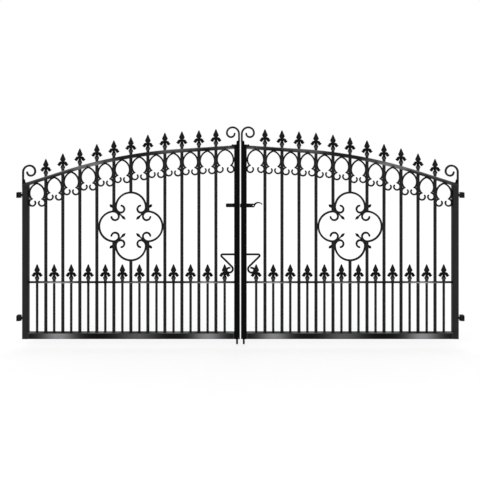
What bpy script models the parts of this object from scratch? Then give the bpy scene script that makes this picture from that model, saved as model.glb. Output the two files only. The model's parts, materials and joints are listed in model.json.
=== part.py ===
"""Arched double-leaf driveway gate in wrought-iron style.

Two mirrored leaves hang on eye-and-pin hinges. Each leaf is a frame of square tube with an arched top
rail, round uprights with cast heads, a row of horseshoe rings under the arch, a dog-bar panel below and a
quatrefoil of four C-scrolls. Drop bolts with curled handles slide behind the meeting stiles, and a sliding
latch bolt joins the two leaves.

Frame: metres, +Z up, +X from the left leaf to the right leaf, -Y towards the street side. The origin lies on
the flat outer face of the lower left hinge bracket. Inside a leaf the coordinates are u (from its hinge edge
to its meeting edge), y (from its front face to its back) and z (from its underside).
"""

import math

import bmesh
import bpy

# Whole gate
GATE_WIDTH = 3.0465                # over the outer edges of both closed leaves
MEETING_GAP = 0.0078               # between the closed leaves
HINGE_SIDE_HEIGHT = 1.0825         # top of the arch at a leaf's hinge edge
MEETING_SIDE_HEIGHT = 1.3525       # top of the arch at a leaf's meeting edge

# Frame of a leaf
FRAME_WIDTH = 0.040                # tube of the stiles and the bottom rail, seen from the front
FRAME_DEPTH = 0.045                # from its front to its back
TOP_RAIL_HEIGHT = 0.025
ARCH_RADIUS = 3.490
HINGE_END_BOW = math.radians(7.7)  # between the arch's straight run at the hinge and its chord
MEETING_END_BOW = math.radians(6.35)

# Uprights
UPRIGHT_SPACING = 0.119            # wanted between their axes: the count follows from it
UPRIGHT_DIAMETER = 0.021
FIRST_UPRIGHT = 0.1594             # its axis, from the hinge edge
LAST_UPRIGHT = 0.1680              # its axis, from the meeting edge

# Dog bars, the short bars between the uprights
DOG_BAR_DIAMETER = 0.016
FIRST_DOG_BAR = 0.0983             # its axis, from the hinge edge
LAST_DOG_BAR = 0.1065              # its axis, from the meeting edge
DOG_RAIL_UNDERSIDE = 0.3875
DOG_RAIL_THICKNESS = 0.008
DOG_RAIL_DEPTH = 0.030

# Cast heads
HEAD_HEIGHT = 0.1225
HEAD_THICKNESS = 0.011
HEAD_SINK = 0.005                  # of its foot into the end of its bar

# Horseshoe rings under the arch
RING_STRIP = 0.010                 # its width seen from the front
RING_DEPTH = 0.010
RING_INNER_RADIUS = 0.0684
RING_CENTRE_DROP = 0.091           # from the top of the arch to the middle of the ring
RING_TO_UPRIGHT_AXIS = 0.0034
RING_LOWER_RADIUS = 0.062          # of the arcs below the ring's widest place
RING_LOWER_TURN = 38               # degrees, down to the cusps
RING_CURL_REACH = 0.031            # radius of the bend below a cusp
RING_CURL_DROP = 0.012             # straight run down to the curl
RING_CURL_RADIUS = 0.0186

# Quatrefoil
SCROLL_STRIP = 0.012
SCROLL_DEPTH = 0.012
QUATREFOIL_HEIGHT = 0.782          # its middle
LOBE_PROPORTION = 0.4745           # radius of a lobe, against half the quatrefoil's width
LOBE_RISE = 1.259                  # from the quatrefoil's middle to an upper lobe's, in lobe radii
SPEAR_OFFSET = (0.885, 0.959)      # from the quatrefoil's middle to a spear's, in lobe radii
SPEAR_TO_LOBE = 0.0728             # from a spear's middle line to that of a lobe beside it, in lobe radii
SPEAR_BITE = 0.0025                # of a spear's waist into each lobe beside it
SPEAR_LENGTH = 1.40                # in lobe radii
SPEAR_WIDTH = 0.017                # of its inner leaf

# Scrolls on top of the stiles
STILE_SCROLL_RADII = (0.045, 0.0395, 0.031, 0.025)
STILE_SCROLL_HEIGHT = 0.1277       # to the middle of its strip, above the arch
FOOT_WIDTH = 0.0105
FOOT_HEIGHT = 0.031

# Hinges
LOWER_HINGE_HEIGHT = 0.138
UPPER_HINGE_HEIGHT = 1.001
POST_CLEARANCE = 0.0045            # from the post to the back of an open leaf
HINGE_AXIS_REACH = 0.030           # from the stile to the hinge axis
BRACKET_REACH = 0.0165             # from the hinge axis to the bracket's outer face
BRACKET_HEIGHT = 0.038
BRACKET_DEPTH = 0.032
BRACKET_PLATE = 0.004
BRACKET_EAR = 0.006
PIN_DIAMETER = 0.012
HINGE_CLEARANCE = 0.0005           # between an eye and its bracket
EYE_STEM_DIAMETER = 0.016
EYE_BOSS_DIAMETER = 0.022

# Drop bolts
DROP_BOLT_DIAMETER = 0.013
DROP_BOLT_BEHIND = 0.010           # from the back of the leaf to the rod's axis
DROP_BOLT_REACH = 0.057            # below the leaf's underside
DROP_BOLT_ARM_HEIGHT = 0.5784
DROP_BOLT_ARM_LENGTH = 0.0996      # from the rod's axis to the arm's bend
BOLT_GUIDE_WIDTH = 0.030
BOLT_GUIDE_HEIGHT = 0.025
LOWER_GUIDE_HEIGHT = 0.060

# Latch
LATCH_HEIGHT = 0.925
LATCH_BAR_HEIGHT = 0.025
LATCH_BAR_THICKNESS = 0.008
LATCH_BAR_REACH = 0.0960           # from the right leaf's meeting edge
LATCH_THROW = 0.035
LATCH_HOLE_DIAMETER = 0.0088
LATCH_HOLE_INSET = 0.0127          # from the bar's end
LATCH_STRAP_THICKNESS = 0.005
LATCH_LUG_HEIGHT = 0.006
KEEPER_REACH = 0.0990              # from the left leaf's meeting edge
GUIDE_REACH = 0.0574               # from the right leaf's meeting edge

# Clearances
WELD_GAP = 0.0003                  # between pieces that touch
PIN_CLEARANCE = 0.0003             # round a pin
SLIDE_CLEARANCE = 0.001            # round the rod of a drop bolt
LATCH_CLEARANCE = 0.0005           # round the bolt of the latch
LATCH_TIP_CLEARANCE = 0.0012       # from the drawn latch bolt to the left leaf's edge

# Facets
BAR_SIDES = 8
DOG_BAR_SIDES = 6
HINGE_SIDES = 12
ROD_SIDES = 8

# Sizes that follow
HINGE_AXIS_INSET = FRAME_DEPTH - BRACKET_REACH + POST_CLEARANCE
LEAF_WIDTH = (GATE_WIDTH - MEETING_GAP) / 2
MIDDLE_DEPTH = FRAME_DEPTH / 2
UPRIGHT_SPAN = LEAF_WIDTH - FIRST_UPRIGHT - LAST_UPRIGHT
UPRIGHT_COUNT = 2 * round(UPRIGHT_SPAN / (2 * UPRIGHT_SPACING)) + 1
QUATREFOIL_UPRIGHT = UPRIGHT_COUNT // 2     # the upright on its middle, counted from 0
DOG_BAR_COUNT = UPRIGHT_COUNT + 1
UPRIGHT_PITCH = UPRIGHT_SPAN / (UPRIGHT_COUNT - 1)
DOG_BAR_PITCH = (LEAF_WIDTH - FIRST_DOG_BAR - LAST_DOG_BAR) / (DOG_BAR_COUNT - 1)
UPRIGHTS = [FIRST_UPRIGHT + index * UPRIGHT_PITCH for index in range(UPRIGHT_COUNT)]
DOG_BARS = [FIRST_DOG_BAR + index * DOG_BAR_PITCH for index in range(DOG_BAR_COUNT)]
DOG_RAIL_TOP = DOG_RAIL_UNDERSIDE + DOG_RAIL_THICKNESS
BAR_FOOT = FRAME_WIDTH + WELD_GAP

# Half outline of a cast head, from its foot to its tip: offset from the axis and height above the rail
HEAD_OUTLINE = (
    (0.0060, 0.0000), (0.0092, 0.0105), (0.0155, 0.0190), (0.0035, 0.0430), (0.0180, 0.0345),
    (0.0240, 0.0325), (0.0380, 0.0405), (0.0250, 0.0555), (0.0125, 0.0625), (0.0190, 0.0775),
)


# Flat paths and outlines

def trace(start, heading, moves, step=math.radians(24)):
    """Points of a flat path that starts at start, in the direction heading.

    Each move is (length, 0) for a straight run, or (radius, turn) for an arc, with turn in degrees and
    positive to the left.
    """
    x, z = start
    points = [(x, z)]
    for size, turn in moves:
        if turn == 0:
            x += size * math.cos(heading)
            z += size * math.sin(heading)
            points.append((x, z))
            continue
        total = math.radians(turn)
        count = max(1, math.ceil(abs(total) / step - 1e-6))
        side = math.copysign(1, total)
        centre_x = x - side * size * math.sin(heading)
        centre_z = z + side * size * math.cos(heading)
        for index in range(1, count + 1):
            angle = heading + total * index / count
            points.append((centre_x + side * size * math.sin(angle),
                           centre_z - side * size * math.cos(angle)))
        x, z = points[-1]
        heading += total
    return points


def path_normals(path):
    """Left-hand normal at each point of a flat path, lengthened where the path bends."""
    normals = []
    for index, (x, z) in enumerate(path):
        directions = []
        for a, b in ((index - 1, index), (index, index + 1)):
            if a < 0 or b >= len(path):
                continue
            dx, dz = path[b][0] - path[a][0], path[b][1] - path[a][1]
            length = math.hypot(dx, dz)
            directions.append((dx / length, dz / length))
        mean_x = sum(d[0] for d in directions) / len(directions)
        mean_z = sum(d[1] for d in directions) / len(directions)
        square = mean_x ** 2 + mean_z ** 2
        normals.append((-mean_z / square, mean_x / square))
    return normals


def strip_outline(path, widths):
    """Closed outline of a strip that follows a flat path, with a width at each point."""
    left, right = [], []
    for (x, z), (nx, nz), width in zip(path, path_normals(path), widths):
        left.append((x + nx * width / 2, z + nz * width / 2))
        right.append((x - nx * width / 2, z - nz * width / 2))
    return left, right


# Meshes

def finish_mesh(name, mesh):
    """Object of a bmesh, with its faces turned outwards."""
    bmesh.ops.recalc_face_normals(mesh, faces=mesh.faces[:])
    data = bpy.data.meshes.new(name)
    mesh.to_mesh(data)
    mesh.free()
    item = bpy.data.objects.new(name, data)
    bpy.context.scene.collection.objects.link(item)
    return item


def prism(outline, near, far, name="piece"):
    """Solid of a closed outline in the leaf's plane, from depth near to depth far."""
    mesh = bmesh.new()
    front = [mesh.verts.new((x, near, z)) for x, z in outline]
    back = [mesh.verts.new((x, far, z)) for x, z in outline]
    mesh.faces.new(front)
    mesh.faces.new(back)
    for index in range(len(outline)):
        after = (index + 1) % len(outline)
        mesh.faces.new((front[index], front[after], back[after], back[index]))
    return finish_mesh(name, mesh)


def block(u, y, z, name="piece"):
    """Box between two values of u, y and z."""
    return prism([(u[0], z[0]), (u[1], z[0]), (u[1], z[1]), (u[0], z[1])], y[0], y[1], name)


def sweep(path, section, name="piece"):
    """Solid of a section moved along a flat path: the section's points are (across, depth)."""
    mesh = bmesh.new()
    rings = []
    for (x, z), (nx, nz) in zip(path, path_normals(path)):
        rings.append([mesh.verts.new((x + nx * across, depth, z + nz * across)) for across, depth in section])
    for near, far in zip(rings, rings[1:]):
        for index in range(len(section)):
            after = (index + 1) % len(section)
            mesh.faces.new((near[index], near[after], far[after], far[index]))
    mesh.faces.new(rings[0])
    mesh.faces.new(rings[-1])
    return finish_mesh(name, mesh)


def flat_section(width, depth, middle):
    """Rectangular section, width across the path and depth about the depth middle."""
    near, far = middle - depth / 2, middle + depth / 2
    return [(-width / 2, near), (width / 2, near), (width / 2, far), (-width / 2, far)]


def round_section(diameter, middle, sides):
    """Round section about the depth middle."""
    radius = diameter / 2
    angles = [2 * math.pi * (index + 0.5) / sides for index in range(sides)]
    return [(radius * math.cos(a), middle + radius * math.sin(a)) for a in angles]


def column(u, y, diameter, bottom, top, sides, name="piece"):
    """Upright round bar. Its top is a height, or a function of u that it is cut to."""
    radius = diameter / 2
    top_at = top if callable(top) else lambda _: top
    mesh = bmesh.new()
    corners = []
    for index in range(sides):
        angle = 2 * math.pi * (index + 0.5) / sides
        corners.append((u + radius * math.cos(angle), y + radius * math.sin(angle)))
    low = [mesh.verts.new((cx, cy, bottom)) for cx, cy in corners]
    high = [mesh.verts.new((cx, cy, top_at(cx))) for cx, cy in corners]
    mesh.faces.new(low)
    mesh.faces.new(high)
    for index in range(sides):
        after = (index + 1) % sides
        mesh.faces.new((low[index], low[after], high[after], high[index]))
    return finish_mesh(name, mesh)


def spindle(stations, y, z, sides, name="piece"):
    """Turned piece about an axis along u: stations are (u, diameter)."""
    mesh = bmesh.new()
    rings = []
    for u, diameter in stations:
        angles = [2 * math.pi * (index + 0.5) / sides for index in range(sides)]
        rings.append([mesh.verts.new((u, y + diameter / 2 * math.cos(a), z + diameter / 2 * math.sin(a)))
                      for a in angles])
    for near, far in zip(rings, rings[1:]):
        for index in range(sides):
            after = (index + 1) % sides
            mesh.faces.new((near[index], near[after], far[after], far[index]))
    mesh.faces.new(rings[0])
    mesh.faces.new(rings[-1])
    return finish_mesh(name, mesh)


def combine(operation, base, tools):
    """Apply a Boolean between base and all the tools, and remove the tools."""
    group = bpy.data.collections.new("tools")
    bpy.context.scene.collection.children.link(group)
    for tool in tools:
        group.objects.link(tool)
    boolean = base.modifiers.new("combine", "BOOLEAN")
    boolean.operation = operation
    boolean.operand_type = "COLLECTION"
    boolean.collection = group
    boolean.solver = "EXACT"
    graph = bpy.context.evaluated_depsgraph_get()
    result = bpy.data.meshes.new_from_object(base.evaluated_get(graph))
    base.modifiers.clear()
    base.data = result
    for tool in tools:
        bpy.data.objects.remove(tool)
    bpy.data.collections.remove(group)
    return base


def fuse(base, tools):
    return combine("UNION", base, tools)


def cut(base, tools):
    return combine("DIFFERENCE", base, tools)


# The arch

def arch_shape():
    """Chord, end directions and tangent points of the arch's upper edge."""
    rise = MEETING_SIDE_HEIGHT - HINGE_SIDE_HEIGHT
    chord = math.hypot(LEAF_WIDTH, rise)
    lean = math.atan2(rise, LEAF_WIDTH)
    hinge_angle = lean + HINGE_END_BOW
    meeting_angle = lean - MEETING_END_BOW
    bend = HINGE_END_BOW + MEETING_END_BOW
    tangent = ARCH_RADIUS * math.tan(bend / 2)
    hinge_run = chord * math.sin(MEETING_END_BOW) / math.sin(bend) - tangent
    meeting_run = chord * math.sin(HINGE_END_BOW) / math.sin(bend) - tangent
    return hinge_angle, meeting_angle, hinge_run, meeting_run


def arch_edge(drop, step=math.radians(2.4)):
    """Points of the arch at a distance drop below its upper edge, from the hinge to the meeting edge."""
    hinge_angle, meeting_angle, hinge_run, meeting_run = arch_shape()
    extra_start = drop * math.tan(hinge_angle)
    extra_end = drop * math.tan(meeting_angle)
    start = (0.0, HINGE_SIDE_HEIGHT - drop / math.cos(hinge_angle))
    turn = math.degrees(meeting_angle - hinge_angle)
    moves = [(hinge_run + extra_start, 0), (ARCH_RADIUS - drop, turn), (meeting_run - extra_end, 0)]
    return trace(start, hinge_angle, moves, step)


def arch_height(u, drop=0.0):
    """Height of the arch's faceted edge at u, on the edge a distance drop below the upper one."""
    points = arch_edge(drop)
    for (u0, z0), (u1, z1) in zip(points, points[1:]):
        if u <= u1 or (u1, z1) == points[-1]:
            return z0 + (z1 - z0) * (u - u0) / (u1 - u0)
    return points[-1][1]


# Pieces of a leaf, in its own coordinates

def stile(inner_side):
    """Upright tube of the frame, cut at its top to the underside of the arch."""
    left, right = inner_side
    under = TOP_RAIL_HEIGHT
    outline = [(left, 0), (right, 0), (right, arch_height(right, under) - WELD_GAP),
               (left, arch_height(left, under) - WELD_GAP)]
    return prism(outline, 0, FRAME_DEPTH)


def hinge_stile():
    return stile((0, FRAME_WIDTH))


def guide_spans():
    """Bottom and top of the two drop-bolt guides."""
    arm_seat = DROP_BOLT_ARM_HEIGHT - DROP_BOLT_DIAMETER / 2 - WELD_GAP
    return ((LOWER_GUIDE_HEIGHT, LOWER_GUIDE_HEIGHT + BOLT_GUIDE_HEIGHT), (arm_seat - BOLT_GUIDE_HEIGHT, arm_seat))


def meeting_stile():
    """Stile at the meeting edge, with the two guides of the drop bolt on its back."""
    post = stile((LEAF_WIDTH - FRAME_WIDTH, LEAF_WIDTH))
    middle = LEAF_WIDTH - FRAME_WIDTH / 2
    rod_depth = FRAME_DEPTH + DROP_BOLT_BEHIND
    back = rod_depth + DROP_BOLT_DIAMETER / 2 + SLIDE_CLEARANCE + 0.005
    guides = [block((middle - BOLT_GUIDE_WIDTH / 2, middle + BOLT_GUIDE_WIDTH / 2),
                    (FRAME_DEPTH - 0.002, back), span) for span in guide_spans()]
    fuse(post, guides)
    bores = [column(middle, rod_depth, DROP_BOLT_DIAMETER + 2 * SLIDE_CLEARANCE, low - 0.01, high + 0.01, ROD_SIDES)
             for low, high in guide_spans()]
    return cut(post, bores)


def bottom_rail():
    ends = (FRAME_WIDTH + WELD_GAP, LEAF_WIDTH - FRAME_WIDTH - WELD_GAP)
    return block(ends, (0, FRAME_DEPTH), (0, FRAME_WIDTH))


def ring_path(centre, half_width):
    """Middle line of one horseshoe ring, from curl to curl over its apex."""
    past_axis = RING_INNER_RADIUS + RING_STRIP - half_width
    radius = RING_INNER_RADIUS + RING_STRIP / 2
    apex_angle = math.acos(past_axis / radius)
    height = arch_height(centre) - RING_CENTRE_DROP
    moves = [(radius, -math.degrees(apex_angle)), (RING_LOWER_RADIUS, -RING_LOWER_TURN)]
    apex = (centre, height + radius * math.sin(apex_angle))
    right = trace(apex, apex_angle - math.pi / 2, moves, math.radians(26))
    curl = [(RING_CURL_REACH, -45), (RING_CURL_DROP, 0), (RING_CURL_RADIUS, -240)]
    half = right + trace(right[-1], -math.pi / 4, curl, math.radians(48))[1:]
    mirrored = [(2 * centre - u, z) for u, z in reversed(half[1:])]
    return mirrored + half


def ring_spans():
    """Left and right limits of each ring: beside the axis of an upright, or at a stile's inner face."""
    limits = [(FRAME_WIDTH + WELD_GAP, UPRIGHTS[0] - RING_TO_UPRIGHT_AXIS)]
    for left, right in zip(UPRIGHTS, UPRIGHTS[1:]):
        limits.append((left + RING_TO_UPRIGHT_AXIS, right - RING_TO_UPRIGHT_AXIS))
    limits.append((UPRIGHTS[-1] + RING_TO_UPRIGHT_AXIS, LEAF_WIDTH - FRAME_WIDTH - WELD_GAP))
    return limits


def upright_tools(bottom, top):
    """Cutters for the holes and saddles that the uprights need."""
    return [column(u, MIDDLE_DEPTH, UPRIGHT_DIAMETER + 2 * WELD_GAP, bottom, top, BAR_SIDES) for u in UPRIGHTS]


def top_rail():
    """Arched rail with its rings, drilled and saddled for the uprights."""
    outline = arch_edge(0) + list(reversed(arch_edge(TOP_RAIL_HEIGHT)))
    rail = prism(outline, 0, FRAME_DEPTH)
    rings = []
    for left, right in ring_spans():
        path = ring_path((left + right) / 2, (right - left) / 2)
        rings.append(sweep(path, flat_section(RING_STRIP, RING_DEPTH, MIDDLE_DEPTH)))
    fuse(rail, rings)
    return cut(rail, upright_tools(DOG_RAIL_TOP, MEETING_SIDE_HEIGHT + 0.1))


def cast_head(u, base, sink):
    """Cast spear head with two drooping leaves, above height base. Its foot goes sink below that."""
    half = [(HEAD_OUTLINE[0][0], -sink)] + list(HEAD_OUTLINE[1:])
    outline = [(u - x, base + z) for x, z in half]
    outline += [(u, base + HEAD_HEIGHT)]
    outline += [(u + x, base + z) for x, z in reversed(half)]
    return prism(outline, MIDDLE_DEPTH - HEAD_THICKNESS / 2, MIDDLE_DEPTH + HEAD_THICKNESS / 2)


def bar_top(u):
    """Height of an upright's upper end, just under the arch's upper edge."""
    return arch_height(u) - WELD_GAP


def rooted_head(u):
    """Cast head on an upright, with its foot inside the end of the bar."""
    return cast_head(u, arch_height(u), HEAD_SINK)


def upright(index):
    """Full-height upright with its head."""
    u = UPRIGHTS[index]
    bar = column(u, MIDDLE_DEPTH, UPRIGHT_DIAMETER, BAR_FOOT, bar_top, BAR_SIDES)
    return fuse(bar, [rooted_head(u)])


def dog_bar_panel():
    """Flat rail with the dog bars under it and their heads on top, drilled for the uprights."""
    ends = (FRAME_WIDTH + WELD_GAP, LEAF_WIDTH - FRAME_WIDTH - WELD_GAP)
    depth = (MIDDLE_DEPTH - DOG_RAIL_DEPTH / 2, MIDDLE_DEPTH + DOG_RAIL_DEPTH / 2)
    rail = block(ends, depth, (DOG_RAIL_UNDERSIDE, DOG_RAIL_TOP))
    inside = DOG_RAIL_UNDERSIDE + DOG_RAIL_THICKNESS / 2
    parts = [column(u, MIDDLE_DEPTH, DOG_BAR_DIAMETER, BAR_FOOT, inside, DOG_BAR_SIDES) for u in DOG_BARS]
    parts += [cast_head(u, DOG_RAIL_TOP, DOG_RAIL_THICKNESS / 2) for u in DOG_BARS]
    fuse(rail, parts)
    return cut(rail, upright_tools(DOG_RAIL_UNDERSIDE - 0.01, DOG_RAIL_TOP + 0.01))


def quatrefoil_half_width():
    """From the quatrefoil's middle to the middle of a side lobe's strip, which rests against an upright."""
    return 2 * UPRIGHT_PITCH - UPRIGHT_DIAMETER / 2 - WELD_GAP - SCROLL_STRIP / 2


def c_scroll(radius, offset, turn):
    """Lobe of the quatrefoil: a C-scroll with two inward curls, turned about the quatrefoil's middle."""
    moves = [(radius, 75), (radius * 0.53, 65), (radius * 0.25, 212)]
    half = trace((0, offset + radius), math.pi, moves, math.radians(33))
    path = [(-x, z) for x, z in reversed(half[1:])] + half
    middle = UPRIGHTS[QUATREFOIL_UPRIGHT]
    c, s = math.cos(turn), math.sin(turn)
    placed = [(middle + x * c - z * s, QUATREFOIL_HEIGHT + x * s + z * c) for x, z in path]
    return sweep(placed, flat_section(SCROLL_STRIP, SCROLL_DEPTH, MIDDLE_DEPTH))


def spear(radius, side_u, side_z):
    """Double-ended spear. Its waist fills the gap between two lobes and bites into both, to tie them."""
    across, rise = (share * radius for share in SPEAR_OFFSET)
    length = SPEAR_LENGTH * radius
    waist = 2 * (SPEAR_TO_LOBE * radius + SPEAR_BITE) - SCROLL_STRIP
    centre = (UPRIGHTS[QUATREFOIL_UPRIGHT] + side_u * across, QUATREFOIL_HEIGHT + side_z * rise)
    direction = (-side_u * 0.724, -side_z * 0.690)
    shares = (-0.5, -0.43, -0.32, 0.28, 0.36, 0.5)
    widths = (0.25 * SPEAR_WIDTH, 0.85 * SPEAR_WIDTH, waist, waist, SPEAR_WIDTH, 0.1 * SPEAR_WIDTH)
    path = [(centre[0] + direction[0] * length * share, centre[1] + direction[1] * length * share)
            for share in shares]
    left, right = strip_outline(path, widths)
    depth = SCROLL_DEPTH + 0.002
    return prism(left + list(reversed(right)), MIDDLE_DEPTH - depth / 2, MIDDLE_DEPTH + depth / 2)


def quatrefoil():
    """Four C-scrolls, their spears, and the short uprights above and below with their heads."""
    half_width = quatrefoil_half_width()
    radius = LOBE_PROPORTION * half_width
    rise = LOBE_RISE * radius
    reach = half_width - radius
    offsets = ((rise, 0), (reach, math.pi / 2), (rise, math.pi), (reach, -math.pi / 2))
    lobes = [c_scroll(radius, offset, turn) for offset, turn in offsets]
    parts = [spear(radius, side_u, side_z) for side_u in (-1, 1) for side_z in (-1, 1)]
    for index in (QUATREFOIL_UPRIGHT - 1, QUATREFOIL_UPRIGHT, QUATREFOIL_UPRIGHT + 1):
        u = UPRIGHTS[index]
        half = rise + radius if index == QUATREFOIL_UPRIGHT else radius
        parts.append(column(u, MIDDLE_DEPTH, UPRIGHT_DIAMETER, QUATREFOIL_HEIGHT + half, bar_top, BAR_SIDES))
        parts.append(column(u, MIDDLE_DEPTH, UPRIGHT_DIAMETER, BAR_FOOT, QUATREFOIL_HEIGHT - half, BAR_SIDES))
        parts.append(rooted_head(u))
    return fuse(lobes[0], lobes[1:] + parts)


def stile_scroll(at_meeting_edge):
    """Scroll and foot on top of a stile, flush with the leaf's front and outer edge."""
    edge = LEAF_WIDTH if at_meeting_edge else 0.0
    side = -1 if at_meeting_edge else 1
    inner = edge + side * (SCROLL_STRIP + FOOT_WIDTH)
    foot_top = arch_height(edge) + FOOT_HEIGHT
    foot = prism([(edge, arch_height(edge) + WELD_GAP), (inner, arch_height(inner) + WELD_GAP),
                  (inner, foot_top), (edge, foot_top)], 0.0, SCROLL_DEPTH)
    stem_base = foot_top - FOOT_HEIGHT / 2
    stem = arch_height(edge) + STILE_SCROLL_HEIGHT - STILE_SCROLL_RADII[0] - stem_base
    moves = [(stem, 0)] + [(radius, -90) for radius in STILE_SCROLL_RADII]
    path = trace((SCROLL_STRIP / 2, stem_base), math.pi / 2, moves, math.radians(23))
    placed = [(edge + side * x, z) for x, z in path]
    scroll = sweep(placed, flat_section(SCROLL_STRIP, SCROLL_DEPTH - 0.0004, SCROLL_DEPTH / 2))
    return fuse(foot, [scroll])


def hinge_eye(height):
    """Eye of a hinge with its stem: it turns on the bracket's pin."""
    axis = -HINGE_AXIS_REACH
    gap = BRACKET_HEIGHT / 2 - BRACKET_EAR - HINGE_CLEARANCE
    diameter = 2 * (BRACKET_REACH - BRACKET_PLATE - HINGE_CLEARANCE)
    barrel = column(axis, HINGE_AXIS_INSET, diameter, height - gap, height + gap, HINGE_SIDES)
    stem = spindle([(axis + 0.002, EYE_STEM_DIAMETER), (axis + BRACKET_REACH + 0.001, EYE_BOSS_DIAMETER),
                    (-0.006, EYE_BOSS_DIAMETER), (-WELD_GAP, EYE_STEM_DIAMETER)],
                   HINGE_AXIS_INSET, height, HINGE_SIDES)
    fuse(barrel, [stem])
    bore = column(axis, HINGE_AXIS_INSET, PIN_DIAMETER + 2 * PIN_CLEARANCE, height - 0.05, height + 0.05,
                  HINGE_SIDES)
    return cut(barrel, [bore])


def drop_bolt():
    """Drop bolt: a rod bent into an arm and a curled handle."""
    rod = LEAF_WIDTH - FRAME_WIDTH / 2
    corner = 0.6 * DROP_BOLT_DIAMETER
    length = DROP_BOLT_ARM_HEIGHT + DROP_BOLT_REACH - corner
    moves = [(length, 0), (corner, 90), (DROP_BOLT_ARM_LENGTH - corner, 0), (0.009, 135.5), (0.100, 0),
             (0.026, -135.5), (0.0175, -90), (0.016, -90), (0.012, -60)]
    path = trace((rod, -DROP_BOLT_REACH), math.pi / 2, moves, math.radians(30))
    depth = FRAME_DEPTH + DROP_BOLT_BEHIND
    return sweep(path, round_section(DROP_BOLT_DIAMETER, depth, ROD_SIDES))


def latch_strap(reach, with_hole):
    """Strap behind a meeting stile that holds the latch bolt, on a lug above it and a lug below it."""
    bolt_back = FRAME_DEPTH + 2 * LATCH_CLEARANCE + LATCH_BAR_THICKNESS
    half_bolt = LATCH_BAR_HEIGHT / 2
    half_strap = half_bolt + LATCH_CLEARANCE + LATCH_LUG_HEIGHT
    near, far = LEAF_WIDTH - 0.004, LEAF_WIDTH - FRAME_WIDTH + 0.004
    end = LEAF_WIDTH - reach
    z = LATCH_HEIGHT
    outline = [(near, z - half_strap), (near, z + half_strap), (far, z + half_strap), (far, z + half_bolt),
               (end, z + half_bolt), (end, z - half_bolt), (far, z - half_bolt), (far, z - half_strap)]
    strap = prism(outline, bolt_back, bolt_back + LATCH_STRAP_THICKNESS)
    lugs = []
    for side in (-1, 1):
        low, high = sorted((z + side * half_strap, z + side * (half_bolt + LATCH_CLEARANCE)))
        lugs.append(block((far, near), (FRAME_DEPTH + WELD_GAP, bolt_back + 0.001), (low, high)))
    fuse(strap, lugs)
    if with_hole:
        hole_u = LEAF_WIDTH - (LATCH_BAR_REACH - LATCH_HOLE_INSET - LATCH_THROW)
        cut(strap, [padlock_tool(hole_u)])
    return strap


def padlock_tool(u):
    """Cutter for a padlock hole through the latch."""
    radius = LATCH_HOLE_DIAMETER / 2
    angles = [2 * math.pi * (index + 0.5) / ROD_SIDES for index in range(ROD_SIDES)]
    outline = [(u + radius * math.cos(a), LATCH_HEIGHT + radius * math.sin(a)) for a in angles]
    return prism(outline, 0, 0.1)


def latch_bolt():
    """Sliding bolt of the latch with its padlock hole and curved thumb tail, on the right leaf."""
    tip = LEAF_WIDTH + MEETING_GAP - LATCH_TIP_CLEARANCE
    end = LEAF_WIDTH - LATCH_BAR_REACH
    half = LATCH_BAR_HEIGHT / 2
    z = LATCH_HEIGHT
    depth = (FRAME_DEPTH + LATCH_CLEARANCE, FRAME_DEPTH + LATCH_CLEARANCE + LATCH_BAR_THICKNESS)
    bar = prism([(tip, z - half), (tip, z + half), (end - 0.004, z + half), (end + 0.006, z - half)], *depth)
    tail_path = trace((end + 0.006, z + 0.003), math.radians(150), [(0.012, -20), (0.030, 70), (0.030, 30)],
                      math.radians(18))
    count = len(tail_path) - 1
    widths = [0.014 - 0.011 * index / count for index in range(count + 1)]
    left, right = strip_outline(tail_path, widths)
    tail = prism(left + list(reversed(right)), *depth)
    fuse(bar, [tail])
    return cut(bar, [padlock_tool(end + LATCH_HOLE_INSET)])


# Fixed hinge brackets

def hinge_bracket():
    """Clevis with its pin, about the hinge axis at (0, 0, 0). Its flat outer face lies at -BRACKET_REACH."""
    half_height, half_depth = BRACKET_HEIGHT / 2, BRACKET_DEPTH / 2
    plate = block((-BRACKET_REACH, -BRACKET_REACH + BRACKET_PLATE), (-half_depth, half_depth),
                  (-half_height, half_height))
    parts = [column(0, 0, PIN_DIAMETER, -half_height + 0.001, half_height - 0.001, HINGE_SIDES)]
    for side in (-1, 1):
        low, high = sorted((side * half_height, side * (half_height - BRACKET_EAR)))
        parts.append(column(0, 0, BRACKET_DEPTH, low, high, HINGE_SIDES))
        parts.append(block((-BRACKET_REACH + 0.001, 0), (-half_depth * 0.98, half_depth * 0.98), (low, high)))
    return fuse(plate, parts)


# Assembly

def paint():
    """Satin black powder coat."""
    material = bpy.data.materials.new("black_powder_coat")
    material.use_nodes = True
    shader = material.node_tree.nodes["Principled BSDF"]
    shader.inputs["Base Color"].default_value = (0.012, 0.012, 0.013, 1)
    shader.inputs["Metallic"].default_value = 0.0
    shader.inputs["Roughness"].default_value = 0.35
    return material


def mirror_mesh(item):
    """Turn a piece made for the left leaf into its mirror image."""
    mesh = bmesh.new()
    mesh.from_mesh(item.data)
    for vertex in mesh.verts:
        vertex.co.x = -vertex.co.x
    bmesh.ops.reverse_faces(mesh, faces=mesh.faces[:])
    mesh.to_mesh(item.data)
    mesh.free()


def place(item, name, parent, offset, side, material):
    """Name a piece, turn it for its side, and hang it on its parent at an offset."""
    if side > 0:
        mirror_mesh(item)
    item.name = name
    item.data.name = name
    item.parent = parent
    item.location = offset
    item.data.materials.clear()
    item.data.materials.append(material)
    item.data.shade_smooth()
    item.data.set_sharp_from_angle(angle=math.radians(35))


def pivot(name, location, parent=None):
    """Empty on a joint's axis."""
    empty = bpy.data.objects.new(name, None)
    bpy.context.scene.collection.objects.link(empty)
    empty.parent = parent
    empty.location = location
    return empty


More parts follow.
